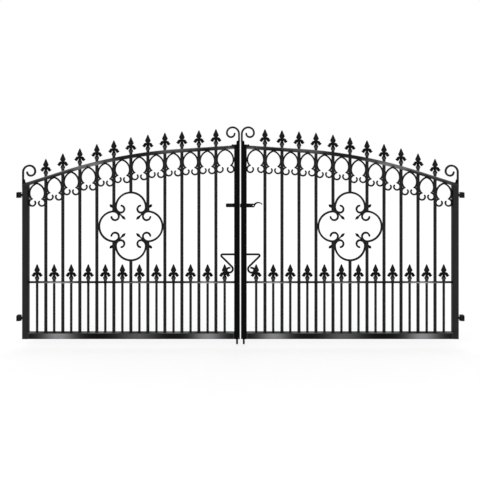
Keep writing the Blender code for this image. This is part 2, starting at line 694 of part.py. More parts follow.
def build_leaf(side_name, side, material):
    """All the pieces of one leaf, its drop bolt and its hinge brackets. side is -1 on the left, 1 on the right."""
    axis_x = BRACKET_REACH + (0 if side < 0 else 2 * HINGE_AXIS_REACH + GATE_WIDTH)
    axis = pivot(f"{side_name}_hinge_axis", (axis_x, 0, 0))
    offset = (-side * HINGE_AXIS_REACH, -HINGE_AXIS_INSET, -LOWER_HINGE_HEIGHT)

    pieces = {
        "hinge_stile": hinge_stile(),
        "meeting_stile": meeting_stile(),
        "bottom_rail": bottom_rail(),
        "top_rail": top_rail(),
        "dog_bar_panel": dog_bar_panel(),
        "quatrefoil": quatrefoil(),
        "hinge_scroll": stile_scroll(False),
        "meeting_scroll": stile_scroll(True),
        "lower_hinge_eye": hinge_eye(LOWER_HINGE_HEIGHT),
        "upper_hinge_eye": hinge_eye(UPPER_HINGE_HEIGHT),
    }
    whole = [index for index in range(UPRIGHT_COUNT) if abs(index - QUATREFOIL_UPRIGHT) > 1]
    for index in whole:
        pieces[f"upright_{index + 1}"] = upright(index)
    if side < 0:
        pieces["latch_keeper"] = latch_strap(KEEPER_REACH, False)
    else:
        pieces["latch_guide"] = latch_strap(GUIDE_REACH, True)
    for name, item in pieces.items():
        place(item, f"{side_name}_{name}", axis, offset, side, material)

    rod_u = LEAF_WIDTH - FRAME_WIDTH / 2
    rod_spot = (-side * (rod_u + HINGE_AXIS_REACH), FRAME_DEPTH + DROP_BOLT_BEHIND - HINGE_AXIS_INSET, 0)
    bolt_axis = pivot(f"{side_name}_drop_bolt_axis", rod_spot, axis)
    bolt_offset = tuple(a - b for a, b in zip(offset, rod_spot))
    place(drop_bolt(), f"{side_name}_drop_bolt", bolt_axis, bolt_offset, side, material)
    if side > 0:
        place(latch_bolt(), "latch_bolt", axis, offset, side, material)

    heights = {"lower": 0.0, "upper": UPPER_HINGE_HEIGHT - LOWER_HINGE_HEIGHT}
    for level, height in heights.items():
        place(hinge_bracket(), f"{side_name}_{level}_bracket", None, (axis_x, 0, height), side, material)


def main():
    for item in list(bpy.data.objects):
        bpy.data.objects.remove(item)
    material = paint()
    build_leaf("left", -1, material)
    build_leaf("right", 1, material)


main()
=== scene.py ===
"""Looks of an arched double driveway gate in wrought-iron style: fine surfaces, finishes, studio and camera.

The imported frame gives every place. Inside a leaf the coordinates are u (from its hinge edge to its meeting
edge), y (from its front face to its back) and z (from its underside), in metres. LeafSpace turns them into
the frame's own, and mirrors them for the right leaf.
"""

from __future__ import annotations

import json
import logging
import math
from dataclasses import dataclass
from enum import Enum
from typing import Callable

import bpy
import numpy as np
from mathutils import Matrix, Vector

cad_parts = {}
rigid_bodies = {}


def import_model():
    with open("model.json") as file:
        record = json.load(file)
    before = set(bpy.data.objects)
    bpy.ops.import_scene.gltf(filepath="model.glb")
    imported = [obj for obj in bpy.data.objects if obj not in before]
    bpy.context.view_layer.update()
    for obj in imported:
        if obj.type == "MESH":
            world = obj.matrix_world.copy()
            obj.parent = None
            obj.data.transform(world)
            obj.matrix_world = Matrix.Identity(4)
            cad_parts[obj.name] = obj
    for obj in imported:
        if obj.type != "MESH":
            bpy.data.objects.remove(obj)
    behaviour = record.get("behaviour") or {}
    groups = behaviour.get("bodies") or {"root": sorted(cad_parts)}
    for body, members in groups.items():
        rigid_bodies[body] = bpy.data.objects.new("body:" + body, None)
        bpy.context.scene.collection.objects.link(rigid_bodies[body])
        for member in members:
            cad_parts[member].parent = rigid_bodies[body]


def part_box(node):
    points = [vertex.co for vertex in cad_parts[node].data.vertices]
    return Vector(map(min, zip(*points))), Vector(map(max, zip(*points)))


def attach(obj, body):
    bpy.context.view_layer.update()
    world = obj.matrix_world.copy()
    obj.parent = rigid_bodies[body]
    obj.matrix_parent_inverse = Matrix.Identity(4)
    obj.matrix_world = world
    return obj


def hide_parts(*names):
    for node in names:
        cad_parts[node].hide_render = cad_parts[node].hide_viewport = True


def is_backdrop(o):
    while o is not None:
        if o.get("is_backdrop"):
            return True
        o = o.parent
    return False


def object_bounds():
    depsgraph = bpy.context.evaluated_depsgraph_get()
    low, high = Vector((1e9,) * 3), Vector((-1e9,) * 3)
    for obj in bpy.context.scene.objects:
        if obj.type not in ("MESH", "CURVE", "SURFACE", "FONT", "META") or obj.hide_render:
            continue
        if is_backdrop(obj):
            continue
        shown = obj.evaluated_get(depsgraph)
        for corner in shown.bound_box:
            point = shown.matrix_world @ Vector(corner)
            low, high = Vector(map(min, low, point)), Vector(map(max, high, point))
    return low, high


LOG = logging.getLogger("gate")
Array = np.ndarray
Pair = tuple[float, float]
Spot = tuple[float, float, float]
Pairs = tuple[Pair, ...]
Bands = tuple[Spot, ...]
Height = Callable[[Array], Array]
Tone = Callable[[Array, Array], Array]

UNSIDED = ("root", "latch_bolt")   # nodes and bodies whose names don't start with a leaf's word
FIT = 0.0003                       # between pieces that touch
TUBE_EASE = 0.0022                 # radius of a square tube's edges
DOG_RAIL = (0.3875, 0.3955)        # underside and top of the flat rail over the dog bars
BOLT_BEHIND = 0.010                # from the back of the frame to the drop bolt's axis
FULLER = 0.0008                    # by which each edge of a forged strip stands out of its nominal size
ROUNDED = 0.35                     # share of an edge's ease at the middle of its round, each way


# ---------------------------------------------------------------- surfaces

@dataclass
class Skin:
    """A closed surface: points, four-sided faces and three-sided faces."""

    points: Array
    quads: Array
    triangles: Array

    def volume(self) -> float:
        """Six times the enclosed volume.

        Returns:
            The sum of a . (b x c) over the triangles a, b, c.
        """
        centred = self.points - self.points.mean(0)
        q = self.quads
        faces = np.concatenate([self.triangles, q[:, [0, 1, 2]], q[:, [0, 2, 3]]])
        a, b, c = (centred[faces[:, corner]] for corner in range(3))
        return float(np.einsum("ij,ij->", a, np.cross(b, c)))

    def flipped(self) -> Skin:
        """The same surface with its faces turned the other way."""
        return Skin(self.points, self.quads[:, ::-1], self.triangles[:, ::-1])

    def outward(self) -> Skin:
        """The same surface with its faces turned outwards."""
        return self.flipped() if self.volume() < 0 else self

    def moved(self, offset: Spot) -> Skin:
        """The same surface, moved."""
        return Skin(self.points + np.array(offset), self.quads, self.triangles)

    def upended(self) -> Skin:
        """The same surface with y and z exchanged, for a plate that lies level."""
        return Skin(self.points[:, [0, 2, 1]], self.quads, self.triangles)


def join(skins: list[Skin]) -> Skin:
    """One surface of several closed ones, each turned outwards.

    Args:
        skins: the surfaces, which keep their own points.

    Returns:
        The joined surface.
    """
    skins = [skin.outward() for skin in skins]
    starts = np.cumsum([0] + [len(skin.points) for skin in skins[:-1]])
    return Skin(
        np.concatenate([skin.points for skin in skins]),
        np.concatenate([skin.quads + start for skin, start in zip(skins, starts)]),
        np.concatenate([skin.triangles + start for skin, start in zip(skins, starts)]),
    )


def loft(grid: Array, closed_path: bool = False) -> Skin:
    """Surface over a grid of points, closed round each station and capped at both ends.

    Face (i, j) joins points (i, j), (i, j+1), (i+1, j+1) and (i+1, j), with j counted round the section.
    Each cap is a fan about the middle of its end station.

    Args:
        grid: points as stations x places round the section x 3.
        closed_path: whether the last station joins the first, as on a ring.

    Returns:
        The closed surface.
    """
    n, m, _ = grid.shape
    rows = np.arange(n if closed_path else n - 1)[:, None]
    ring = np.arange(m)
    turn = (ring + 1) % m
    below, above = rows * m, (rows + 1) % n * m
    quads = np.stack([below + ring, below + turn, above + turn, above + ring], -1).reshape(-1, 4)
    points = grid.reshape(-1, 3)
    if closed_path:
        return Skin(points, quads, np.zeros((0, 3), int)).outward()
    first = np.stack([np.full(m, n * m), turn, ring], -1)
    last = np.stack([np.full(m, n * m + 1), (n - 1) * m + ring, (n - 1) * m + turn], -1)
    points = np.concatenate([points, grid[0].mean(0)[None], grid[-1].mean(0)[None]])
    return Skin(points, quads, np.concatenate([first, last])).outward()


def sheet(u: Array, y: Array | float, z: Array, closed_path: bool = False) -> Skin:
    """Lofted surface of three coordinates, each spread over the whole grid."""
    return loft(np.stack(np.broadcast_arrays(u, y, z), -1), closed_path)


def to_object(name: str, skin: Skin) -> bpy.types.Object:
    """Put a surface into a mesh object at the origin.

    Args:
        name: the object's name.
        skin: the surface.

    Returns:
        The object, in the scene.
    """
    mesh = bpy.data.meshes.new(name)
    mesh.from_pydata(skin.points.tolist(), [], skin.quads.tolist() + skin.triangles.tolist())
    item = bpy.data.objects.new(name, mesh)
    bpy.context.scene.collection.objects.link(item)
    return item


class Work(Enum):
    """What is done to a surface with others: they are joined to it or cut from it."""

    JOIN = "UNION"
    CUT = "DIFFERENCE"


def weld(work: Work, base: Skin, tools: list[Skin]) -> Skin:
    """Join or cut closed surfaces into one, as a foundry or a drill does.

    Args:
        work: which of the two.
        base: the surface to work on.
        tools: the surfaces to add or take away.

    Returns:
        The new surface, in triangles.
    """
    group = bpy.data.collections.new("bench")
    bpy.context.scene.collection.children.link(group)
    blank = to_object("blank", base)
    for index, tool in enumerate(tools):
        item = to_object(f"tool_{index}", tool)
        bpy.context.scene.collection.objects.unlink(item)
        group.objects.link(item)
    boolean = blank.modifiers.new("weld", "BOOLEAN")
    boolean.operation, boolean.operand_type = work.value, "COLLECTION"
    boolean.collection, boolean.solver = group, "EXACT"
    graph = bpy.context.evaluated_depsgraph_get()
    mesh = bpy.data.meshes.new_from_object(blank.evaluated_get(graph))
    points = np.empty(len(mesh.vertices) * 3)
    mesh.vertices.foreach_get("co", points)
    mesh.calc_loop_triangles()
    triangles = np.empty(len(mesh.loop_triangles) * 3, int)
    mesh.loop_triangles.foreach_get("vertices", triangles)
    for item in [blank, *group.objects]:
        data = item.data
        bpy.data.objects.remove(item)
        bpy.data.meshes.remove(data)
    bpy.data.meshes.remove(mesh)
    bpy.data.collections.remove(group)
    return Skin(points.reshape(-1, 3), np.zeros((0, 4), int), triangles.reshape(-1, 3))


# ---------------------------------------------------------------- sections and paths

def circle(sides: int) -> Array:
    """Even angles round a circle."""
    return np.arange(sides) * 2 * np.pi / sides


def round_section(diameter: float, sides: int) -> Array:
    """Circle of a diameter, as points (across, deep)."""
    return diameter / 2 * np.stack([np.cos(circle(sides)), np.sin(circle(sides))], -1)


def eased_section(width: float, depth: float, ease: float, steps: int = 3) -> Array:
    """Rectangle with quarter-round edges, as points (across, deep).

    Each corner is an arc of radius ease about a point that lies that far inside it.

    Args:
        width: size across.
        depth: size deep.
        ease: radius of the edges.
        steps: straight steps in each quarter round.

    Returns:
        The points, anticlockwise.
    """
    angle = np.linspace(0, np.pi / 2, steps + 1)
    corners = []
    for quarter, (across, deep) in enumerate(((1, 1), (-1, 1), (-1, -1), (1, -1))):
        turned_by = angle + quarter * np.pi / 2
        corners.append(np.stack([across * (width / 2 - ease) + ease * np.cos(turned_by),
                                 deep * (depth / 2 - ease) + ease * np.sin(turned_by)], -1))
    return np.concatenate(corners)


def filled(section: Array, longest: float) -> Array:
    """A closed section with even points added where its sides are longer than a length.

    Args:
        section: the section's points.
        longest: the longest side that stays whole.

    Returns:
        The points.
    """
    ends = np.roll(section, -1, axis=0)
    counts = np.maximum(1, np.ceil(np.linalg.norm(ends - section, axis=1) / longest).astype(int))
    return np.concatenate([a + (b - a) * np.arange(n)[:, None] / n for a, b, n in zip(section, ends, counts)])


def flat_route(start: Pair, heading: float, moves: list[Pair], step: float = 4.0) -> Array:
    """Points of a flat path of straight runs and arcs.

    A move is (length, 0) for a run, or (radius, turn in degrees) for an arc, positive to the left. On an arc
    of radius r about c, the point where the path heads h is c + r (sin h, -cos h), or the opposite one to
    the right.

    Args:
        start: first point.
        heading: first direction, in radians.
        moves: the runs and arcs, in order.
        step: largest turn between points of an arc, in degrees.

    Returns:
        The points (u, z).
    """
    place = np.array(start, float)
    runs = [place[None]]
    for size, turn in moves:
        if turn == 0:
            run = place[None] + size * np.array([[math.cos(heading), math.sin(heading)]])
        else:
            total, side = math.radians(turn), math.copysign(size, turn)
            centre = place + side * np.array([-math.sin(heading), math.cos(heading)])
            h = heading + total * np.linspace(0, 1, max(2, math.ceil(abs(total) / math.radians(step))) + 1)[1:]
            run = centre + side * np.stack([np.sin(h), -np.cos(h)], -1)
            heading += total
        runs.append(run)
        place = run[-1]
    return np.concatenate(runs)


def both_ways(half: Array, centre: float = 0.0) -> Array:
    """A path and its mirror image about u = centre, joined at the path's first point."""
    return np.concatenate([half[:0:-1] * [-1, 1] + [2 * centre, 0], half])


def distances(path: Array) -> Array:
    """Distance of each point of a path from its start."""
    return np.concatenate([[0], np.cumsum(np.linalg.norm(np.diff(path, axis=0), axis=1))])


def stations(path: Array, spacing: float, clear: float = 0.0, sharp: float = 25.0) -> Array:
    """Distances along a path at even steps, with each corner among them and no other one close to it.

    Args:
        path: points (u, z).
        spacing: largest distance between stations.
        clear: distance from a corner within which there is no other station.
        sharp: turn in degrees from which a point is a corner.

    Returns:
        The distances.
    """
    length = distances(path)
    step = np.diff(path, axis=0) / np.diff(length)[:, None]
    corners = length[1:-1][(step[:-1] * step[1:]).sum(1) < math.cos(math.radians(sharp))]
    places = np.linspace(0, length[-1], max(3, math.ceil(length[-1] / spacing) + 1))
    far = (np.abs(places[:, None] - corners) > clear).all(1)
    return np.sort(np.concatenate([places[far], corners]))


def along(path: Array, places: Array) -> Array:
    """Points of a path at distances from its start."""
    return np.stack([np.interp(places, distances(path), path[:, axis]) for axis in (0, 1)], -1)


def carry(path: Array, section: Array, depth: float, wide: Array | float = 1.0, thick: Array | float = 1.0) -> Skin:
    """Surface of a section carried along a flat path in the leaf's plane, and mitred at its corners.

    A section point (across, deep) lands at path + across n, at depth + deep. For m the mean of the
    directions before and after a point, n is m turned a quarter left and divided by its square.

    Args:
        path: points (u, z) of the middle line.
        section: points (across, deep).
        depth: the middle line's y.
        wide: factor across at each station.
        thick: factor in depth at each station.

    Returns:
        The closed surface.
    """
    step = np.diff(path, axis=0)
    step /= np.linalg.norm(step, axis=1)[:, None]
    mean = 0.5 * (np.concatenate([step[:1], step]) + np.concatenate([step, step[-1:]]))
    normal = np.stack([-mean[:, 1], mean[:, 0]], -1) / (mean ** 2).sum(1)[:, None]
    across, deep = (section[None, :, axis] * np.broadcast_to(factor, len(path))[:, None]
                    for axis, factor in enumerate((wide, thick)))
    return sheet(path[:, :1] + across * normal[:, :1], depth + deep, path[:, 1:] + across * normal[:, 1:])


def forge(path: Array, section: Array, depth: float, spacing: float = 0.003, tail: Pair = (0, 0),
          thin: float = 0.72) -> Skin:
    """A forged strip or bar: its section carried along a path, drawn down and rounded at its ends.

    At the distance s from an end with a tail of length t, the section is thin + (1 - thin) s / t of its full
    size. Over the last half width it shrinks as a half round, by the square root of 1 - (1 - s / nose)^2.

    Args:
        path: points (u, z) of the middle line.
        section: points (across, deep).
        depth: the middle line's y.
        spacing: largest distance between stations.
        tail: length of the drawn-down stretch at the start and at the end.
        thin: size of the tip against the full section.

    Returns:
        The closed surface.
    """
    nose = 0.5 * np.ptp(section[:, 0])
    places = stations(path, spacing, nose)
    total = places[-1]
    tip = nose * (1 - np.cos(np.linspace(0.15, np.pi / 2, 5)))
    inner = places[(places > nose * 1.1) & (places < total - nose * 1.1)]
    places = np.concatenate([tip, inner, total - tip[::-1]])
    scale = np.sqrt(1 - (1 - np.clip(np.minimum(places, total - places) / nose, 0, 1)) ** 2)
    for length, distance in zip(tail, (places, total - places)):
        if length:
            scale = scale * (thin + (1 - thin) * np.clip(distance / length, 0, 1))
    return carry(along(path, places), section, depth, scale, scale)


def turned(profile: Array | Pairs, centre: Spot, axis: Spot, sides: int, hollow: bool = False) -> Skin:
    """Turned piece: a profile of (distance along the axis, radius) revolved about an axis.

    Args:
        profile: points (along, radius). A hollow piece's profile closes on itself.
        centre: the point of the axis at distance 0.
        axis: unit vector along the axis.
        sides: places round the piece.
        hollow: whether the piece is a ring.

    Returns:
        The closed surface.
    """
    profile, ahead = np.array(profile), np.array(axis, float)
    side = np.cross(ahead, [0.0, 0.0, 1.0] if abs(ahead[2]) < 0.9 else [1.0, 0.0, 0.0])
    side /= np.linalg.norm(side)
    angle = circle(sides)[:, None]
    spoke = np.cos(angle) * side + np.sin(angle) * np.cross(ahead, side)
    grid = np.array(centre) + profile[:, None, :1] * ahead + profile[:, None, 1:] * spoke[None]
    return loft(grid.transpose(1, 0, 2), True) if hollow else loft(grid)


def slab(outline: Array, near: float, far: float, ease: float) -> Skin:
    """Plate of an outline in the leaf's plane, with quarter-round edges.

    At the depth where the round has turned by an angle a, the outline lies ease (1 - sin a) inside itself.

    Args:
        outline: points (u, z).
        near: y of the front face.
        far: y of the back face.
        ease: radius of the edges.

    Returns:
        The closed surface.
    """
    u, z = outline.T
    if (u * np.roll(z, -1) - z * np.roll(u, -1)).sum() < 0:
        outline = outline[::-1]
    after = np.roll(outline, -1, axis=0) - outline
    after /= np.linalg.norm(after, axis=1)[:, None]
    both = np.roll(after, 1, axis=0) + after
    inward = np.stack([-both[:, 1], both[:, 0]], -1)
    inward /= np.maximum(0.5 * (inward ** 2).sum(1), 0.5)[:, None]
    angle = np.linspace(0, np.pi / 2, 4)
    inset, drop = ease * (1 - np.sin(angle)), ease * (1 - np.cos(angle))
    flat = outline[None] + np.concatenate([inset, inset[::-1]])[:, None, None] * inward[None]
    return sheet(flat[..., 0], np.concatenate([near + drop, far - drop[::-1]])[:, None], flat[..., 1])


def leaf_form(left: Array, right: Array, thickness: Array, crease: float, depth: float, sides: int = 20) -> Skin:
    """Cast leaf between two edge lines, with a ridge or a vein along its middle.

    At a station, the place a round the section lies at the share (1 - cos a) / 2 of the way from the left
    edge to the right one, and at t ((1 - |c|) w + |s| (1 - w)) in front or behind, for c and s the cosine
    and sine of a. A weight w of 1 makes a sharp ridge and 0 a lens. A negative crease cuts a vein instead,
    with the depth t |s| (1 + crease exp(-(c / 0.3)^2)).

    Args:
        left: points (u, z) of one edge.
        right: points of the other edge, as many.
        thickness: half thickness at each station.
        crease: weight of the ridge, or depth of the vein if negative.
        depth: y of the middle.
        sides: places round the section.

    Returns:
        The closed surface.
    """
    c, s = np.cos(circle(sides)), np.sin(circle(sides))
    if crease >= 0:
        form = (1 - np.abs(c)) * crease + np.abs(s) * (1 - crease)
    else:
        form = np.abs(s) * (1 + crease * np.exp(-(c / 0.3) ** 2))
    share = ((1 - c) / 2)[None, :, None]
    flat = left[:, None] * (1 - share) + right[:, None] * share
    return sheet(flat[..., 0], depth + thickness[:, None] * form * np.sign(s), flat[..., 1])


def smooth_line(points: Pairs, count: int) -> Array:
    """Smooth line through points (Catmull-Rom), each stretch as even steps.

    On the stretch from b to c between neighbours a and d, at the share t, the point is
    ((2b) + (c - a) t + (2a - 5b + 4c - d) t^2 + (3b - a - 3c + d) t^3) / 2.

    Args:
        points: the points to pass through.
        count: number of points to return.

    Returns:
        The points of the line.
    """
    p = np.array(points, float)
    p = np.concatenate([2 * p[:1] - p[1:2], p, 2 * p[-1:] - p[-2:-1]])
    at = np.linspace(0, len(points) - 1 - 1e-9, count)
    i = at.astype(int)
    t = (at - i)[:, None]
    a, b, c, d = p[i], p[i + 1], p[i + 2], p[i + 3]
    return 0.5 * (2 * b + (c - a) * t + (2 * a - 5 * b + 4 * c - d) * t ** 2 + (3 * b - a - 3 * c + d) * t ** 3)


def upright(section: Array, u: float, y: float, low: float, top: Height, rows: int) -> Skin:
    """Upright bar of a section about (u, y): the share t of it stands at low + t (top(u) - low), in even rows."""
    across, deep = section.T
    return sheet(u + across, y + deep, low + np.linspace(0, 1, rows)[:, None] * (top(u + across) - low))


def level(z: float) -> Height:
    """Height function of a level surface."""
    return lambda u: np.full_like(u, z)


def weld_ring(u: float, y: float, radius: float, bead: float, height: Height) -> Skin:
    """Weld bead round an upright bar, rippled like laid metal.

    Point (a, b) stands R + r cos b out and r sin b above the surface, with r = bead (1 + 0.14 sin 12a).

    Args:
        u: the bar's axis.
        y: the bar's depth.
        radius: the bar's radius.
        bead: the bead's mean radius.
        height: height of the surface that the bead lies on, at a value of u.

    Returns:
        The closed ring.
    """
    a, b = circle(36)[:, None], circle(8)[None, :]
    r = bead * (1 + 0.14 * np.sin(12 * a))
    out = radius + r * np.cos(b)
    across = u + out * np.cos(a)
    return sheet(across, y + out * np.sin(a), height(across) + r * np.sin(b), closed_path=True)


def weld_line(start: Spot, end: Spot, bead: float) -> Skin:
    """Weld bead between two points, whose radius swells every three millimetres.

    At the share t of its length l, the radius is bead (1 + 0.13 sin(2 pi t l / 3 mm)), times the square root
    of 1 - (2 |t - 1/2|)^12, which closes the ends.

    Args:
        start: its first end.
        end: its other end.
        bead: its mean radius.

    Returns:
        The closed surface.
    """
    run = np.array(end) - np.array(start)
    length = float(np.linalg.norm(run))
    t = np.linspace(0, 1, max(8, math.ceil(length / 0.0008)))
    radius = bead * (1 + 0.13 * np.sin(2 * np.pi * t * length / 0.003))
    radius *= np.sqrt(np.clip(1 - (2 * np.abs(t - 0.5)) ** 12, 0.03, 1))
    return turned(np.stack([t * length, radius], -1), start, tuple(run / length), sides=8)


# ---------------------------------------------------------------- finishes

def to_linear(value: Array) -> Array:
    """sRGB values as linear ones: v / 12.92 up to 0.04045, and ((v + 0.055) / 1.055)^2.4 above it."""
    return np.where(value <= 0.04045, value / 12.92, ((value + 0.055) / 1.055) ** 2.4)


def linear(hex_colour: str) -> tuple[float, ...]:
    """An sRGB hex colour as linear red, green, blue and alpha."""
    return (*to_linear(np.array([int(hex_colour[i:i + 2], 16) for i in (1, 3, 5)]) / 255).tolist(), 1.0)


def feed(node: bpy.types.Node, links: dict) -> None:
    """Link output sockets to a node's inputs, given by name or number."""
    for name, output in links.items():
        node.id_data.links.new(output, node.inputs[name])


def add_node(tree: bpy.types.NodeTree, kind: str, settings: dict | None = None,
             links: dict | None = None) -> bpy.types.Node:
    """Add a shader node.

    Args:
        tree: the material's node tree.
        kind: the node's type name, less the "ShaderNode" before it.
        settings: attribute name, or input name or number, to value.
        links: input name or number to the output socket that feeds it.

    Returns:
        The node.
    """
    node = tree.nodes.new(f"ShaderNode{kind}")
    attributes = {name: value for name, value in (settings or {}).items()
                  if isinstance(name, str) and name not in node.inputs}
    for name, value in attributes.items():
        setattr(node, name, value)
    for name, value in (settings or {}).items():
        if name not in attributes:
            node.inputs[name].default_value = value
    feed(node, links or {})
    return node


def new_material(name: str, specular: float) -> tuple[bpy.types.Material, bpy.types.Node]:
    """Start a node material.

    Args:
        name: its name.
        specular: the shader's specular level.

    Returns:
        The material and its shader.
    """
    material = bpy.data.materials.new(name)
    material.use_nodes = True
    shader = material.node_tree.nodes["Principled BSDF"]
    shader.inputs["Specular IOR Level"].default_value = specular
    return material, shader


@dataclass(frozen=True)
class BlackCoat:
    """A black coat on iron: near-black paint, mixed towards a light grey by each point's share.

    That share holds the piece's own grey and, on some pieces, painted reflections, painted highlights and painted
    shade. It comes from the piece's own point attribute. Two bumps lie over each other: the coat's grain, and the
    long waves that a hand-forged or cast surface keeps under its paint.
    """

    name: str
    roughness: float
    specular: float
    grain: float
    grain_depth: float
    wave: float
    wave_depth: float
    deep: str = "#040404"
    # light grey at a full share: each piece's own grey, and the painted sheen, highlights and shade of some pieces
    bloom: str = "#9C9DA0"
    clouds: float = 9.0            # to the metre
    cloud_range: Pair = (0.75, 1.25)
    rough_range: float = 0.06

    def material(self) -> bpy.types.Material:
        """Build the node material.

        Returns:
            The material.
        """
        material, shader = new_material(self.name, self.specular)
        tree = material.node_tree
        place = {"Vector": add_node(tree, "TexCoord").outputs["Object"]}
        # share of the light grey: the piece's own grey with its painted sheen, highlights and shade
        share = add_node(tree, "Attribute", {"attribute_name": "bloom"}).outputs["Fac"]
        noise = add_node(tree, "TexNoise", {"Scale": self.clouds, "Detail": 3.0, "Roughness": 0.6}, place)
        cloud = {"Value": noise.outputs["Fac"]}
        patchy = add_node(tree, "MapRange", {"To Min": self.cloud_range[0], "To Max": self.cloud_range[1]}, cloud)
        amount = add_node(tree, "Math", {"operation": "MULTIPLY"}, {0: share, 1: patchy.outputs["Result"]})
        tone = add_node(tree, "Mix", {"data_type": "RGBA", 6: linear(self.deep), 7: linear(self.bloom)},
                        {0: amount.outputs["Value"]})
        rough = add_node(tree, "MapRange", {"To Min": self.roughness - self.rough_range,
                                            "To Max": self.roughness + self.rough_range}, cloud)
        fine = add_node(tree, "TexNoise", {"Scale": 1 / self.grain, "Detail": 2.0}, place)
        long = add_node(tree, "TexNoise", {"Scale": 1 / self.wave, "Detail": 1.0}, place)
        under = add_node(tree, "Bump", {"Strength": 1.0, "Distance": self.wave_depth},
                         {"Height": long.outputs["Fac"]})
        over = add_node(tree, "Bump", {"Strength": 1.0, "Distance": self.grain_depth},
                        {"Height": fine.outputs["Fac"], "Normal": under.outputs["Normal"]})
        feed(shader, {"Base Color": tone.outputs[2], "Roughness": rough.outputs["Result"],
                      "Normal": over.outputs["Normal"]})
        return material


class Finish(Enum):
    """The finishes of the gate. Lengths are metres."""

    # Polyester powder coat on drawn steel tube, sprayed and baked: satin, with orange peel about 1 mm
    # across, drawn at 3 mm so that it shows.
    TUBE = BlackCoat("powder_coat_on_tube", 0.45, 0.04, 0.003, 0.00003, 0.060, 0.0003)
    # The same coat on hot-rolled round bar: the mill scale under it gives fine streaks.
    BAR = BlackCoat("powder_coat_on_round_bar", 0.45, 0.04, 0.0025, 0.00003, 0.030, 0.0002)
    # The coat on sand-cast iron: the mould's 0.5 mm grains, drawn at 2 mm, stay as pimples under the paint.
    CAST = BlackCoat("powder_coat_on_cast_iron", 0.50, 0.05, 0.002, 0.00010, 0.012, 0.0003)
    # The coat on bars bent at the forge: shallow hammer marks about 10 mm apart.
    FORGED = BlackCoat("powder_coat_on_forged_strip", 0.45, 0.045, 0.0025, 0.00003, 0.010, 0.0002)
    # Drop bolts and latch: the coat is rubbed smoother and a little greyer where iron slides on iron.
    RUBBED = BlackCoat("rubbed_powder_coat", 0.36, 0.09, 0.003, 0.00003, 0.020, 0.0002, "#050505", "#A6A7AA")


def bloom_for(grey: Array, coat: BlackCoat) -> Array:
    """Share of the light grey, which also carries painted sheen and shade, that gives a coat an sRGB grey: its linear
    value between those of deep and the light grey.
    """
    low, high = linear(coat.deep)[1], linear(coat.bloom)[1]
    return np.clip((to_linear(grey / 255) - low) / (high - low), 0, 1)


def banded(points: Array, bands: Bands) -> Array:
    """Painted light bands across a rail, standing for reflections, or weights of a painted shade: each of middle m,
    width w and grey g adds g exp(-((u - m) / w)^2).
    """
    middle, width, grey = np.array(bands).T
    return (grey * np.exp(-((points[:, :1] - middle) / width) ** 2)).sum(1)


HEAD_GREYS_WITH_PAINTED_LIGHT = (22.0, 12.0, 60.0)     # grey of the blade, of the drooping leaves darkened with painted shade, and of the painted highlight on the knop's ridge
HEAD_LEVELS = (0.030, 0.064)       # heights above the rail between which a head shows its drooping leaves


def head_grey(over: Array, normals: Array) -> Array:
    """Grey of a cast head: drooping leaves darkened with painted shade, a greyer blade above them, and a painted
    highlight on the knop's ridge below where it faces front or back.

    Args:
        over: height of each point above the head's rail.
        normals: the points' normals.

    Returns:
        The greys.
    """
    # painted shade on the drooping leaves, painted highlight on the knop's front- and back-facing ridge
    blade, leaf, ridge = HEAD_GREYS_WITH_PAINTED_LIGHT
    facing = normals[:, 1] ** 2
    return np.where(over > HEAD_LEVELS[1], blade, np.where(over > HEAD_LEVELS[0], leaf,
                                                           ridge * facing + leaf * (1 - facing)))


# ---------------------------------------------------------------- places

class Side(Enum):
    """The two leaves, and the sense of u along X."""

    LEFT = 1
    RIGHT = -1

    @property
    def word(self) -> str:
        """The word that starts the names of this leaf's nodes."""
        return self.name.lower()


@dataclass(frozen=True)
class LeafSpace:
    """Turns leaf coordinates into the frame's: X = edge + sense u, Y = front + y, Z = underside + z."""

    side: Side
    edge: float
    front: float
    underside: float
    width: float
    frame_width: float
    frame_depth: float

    @classmethod
    def of(cls, side: Side) -> LeafSpace:
        """Read a leaf's place from its hinge stile, and its width from its bottom rail.

        The rail lies evenly between the leaf's edges, so the distances of its ends from one add up to the width.

        Args:
            side: which leaf.

        Returns:
            Its space.
        """
        low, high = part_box(f"{side.word}_hinge_stile")
        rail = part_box(f"{side.word}_bottom_rail")
        edge = low.x if side is Side.LEFT else high.x
        width = sum(abs(corner.x - edge) for corner in rail)
        return cls(side, edge, low.y, low.z, width, high.x - low.x, high.y - low.y)

    def place(self, skin: Skin) -> Skin:
        """A surface of leaf coordinates in the frame's, with its faces outwards."""
        points = skin.points * [self.side.value, 1, 1] + [self.edge, self.front, self.underside]
        return Skin(points, skin.quads, skin.triangles).outward()

    def middle_of(self, node: str) -> Array:
        """Middle of a node's box, in leaf coordinates."""
        corners = np.array([list(corner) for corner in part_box(node)])
        return ((corners - [self.edge, self.front, self.underside]) * [self.side.value, 1, 1]).mean(0)


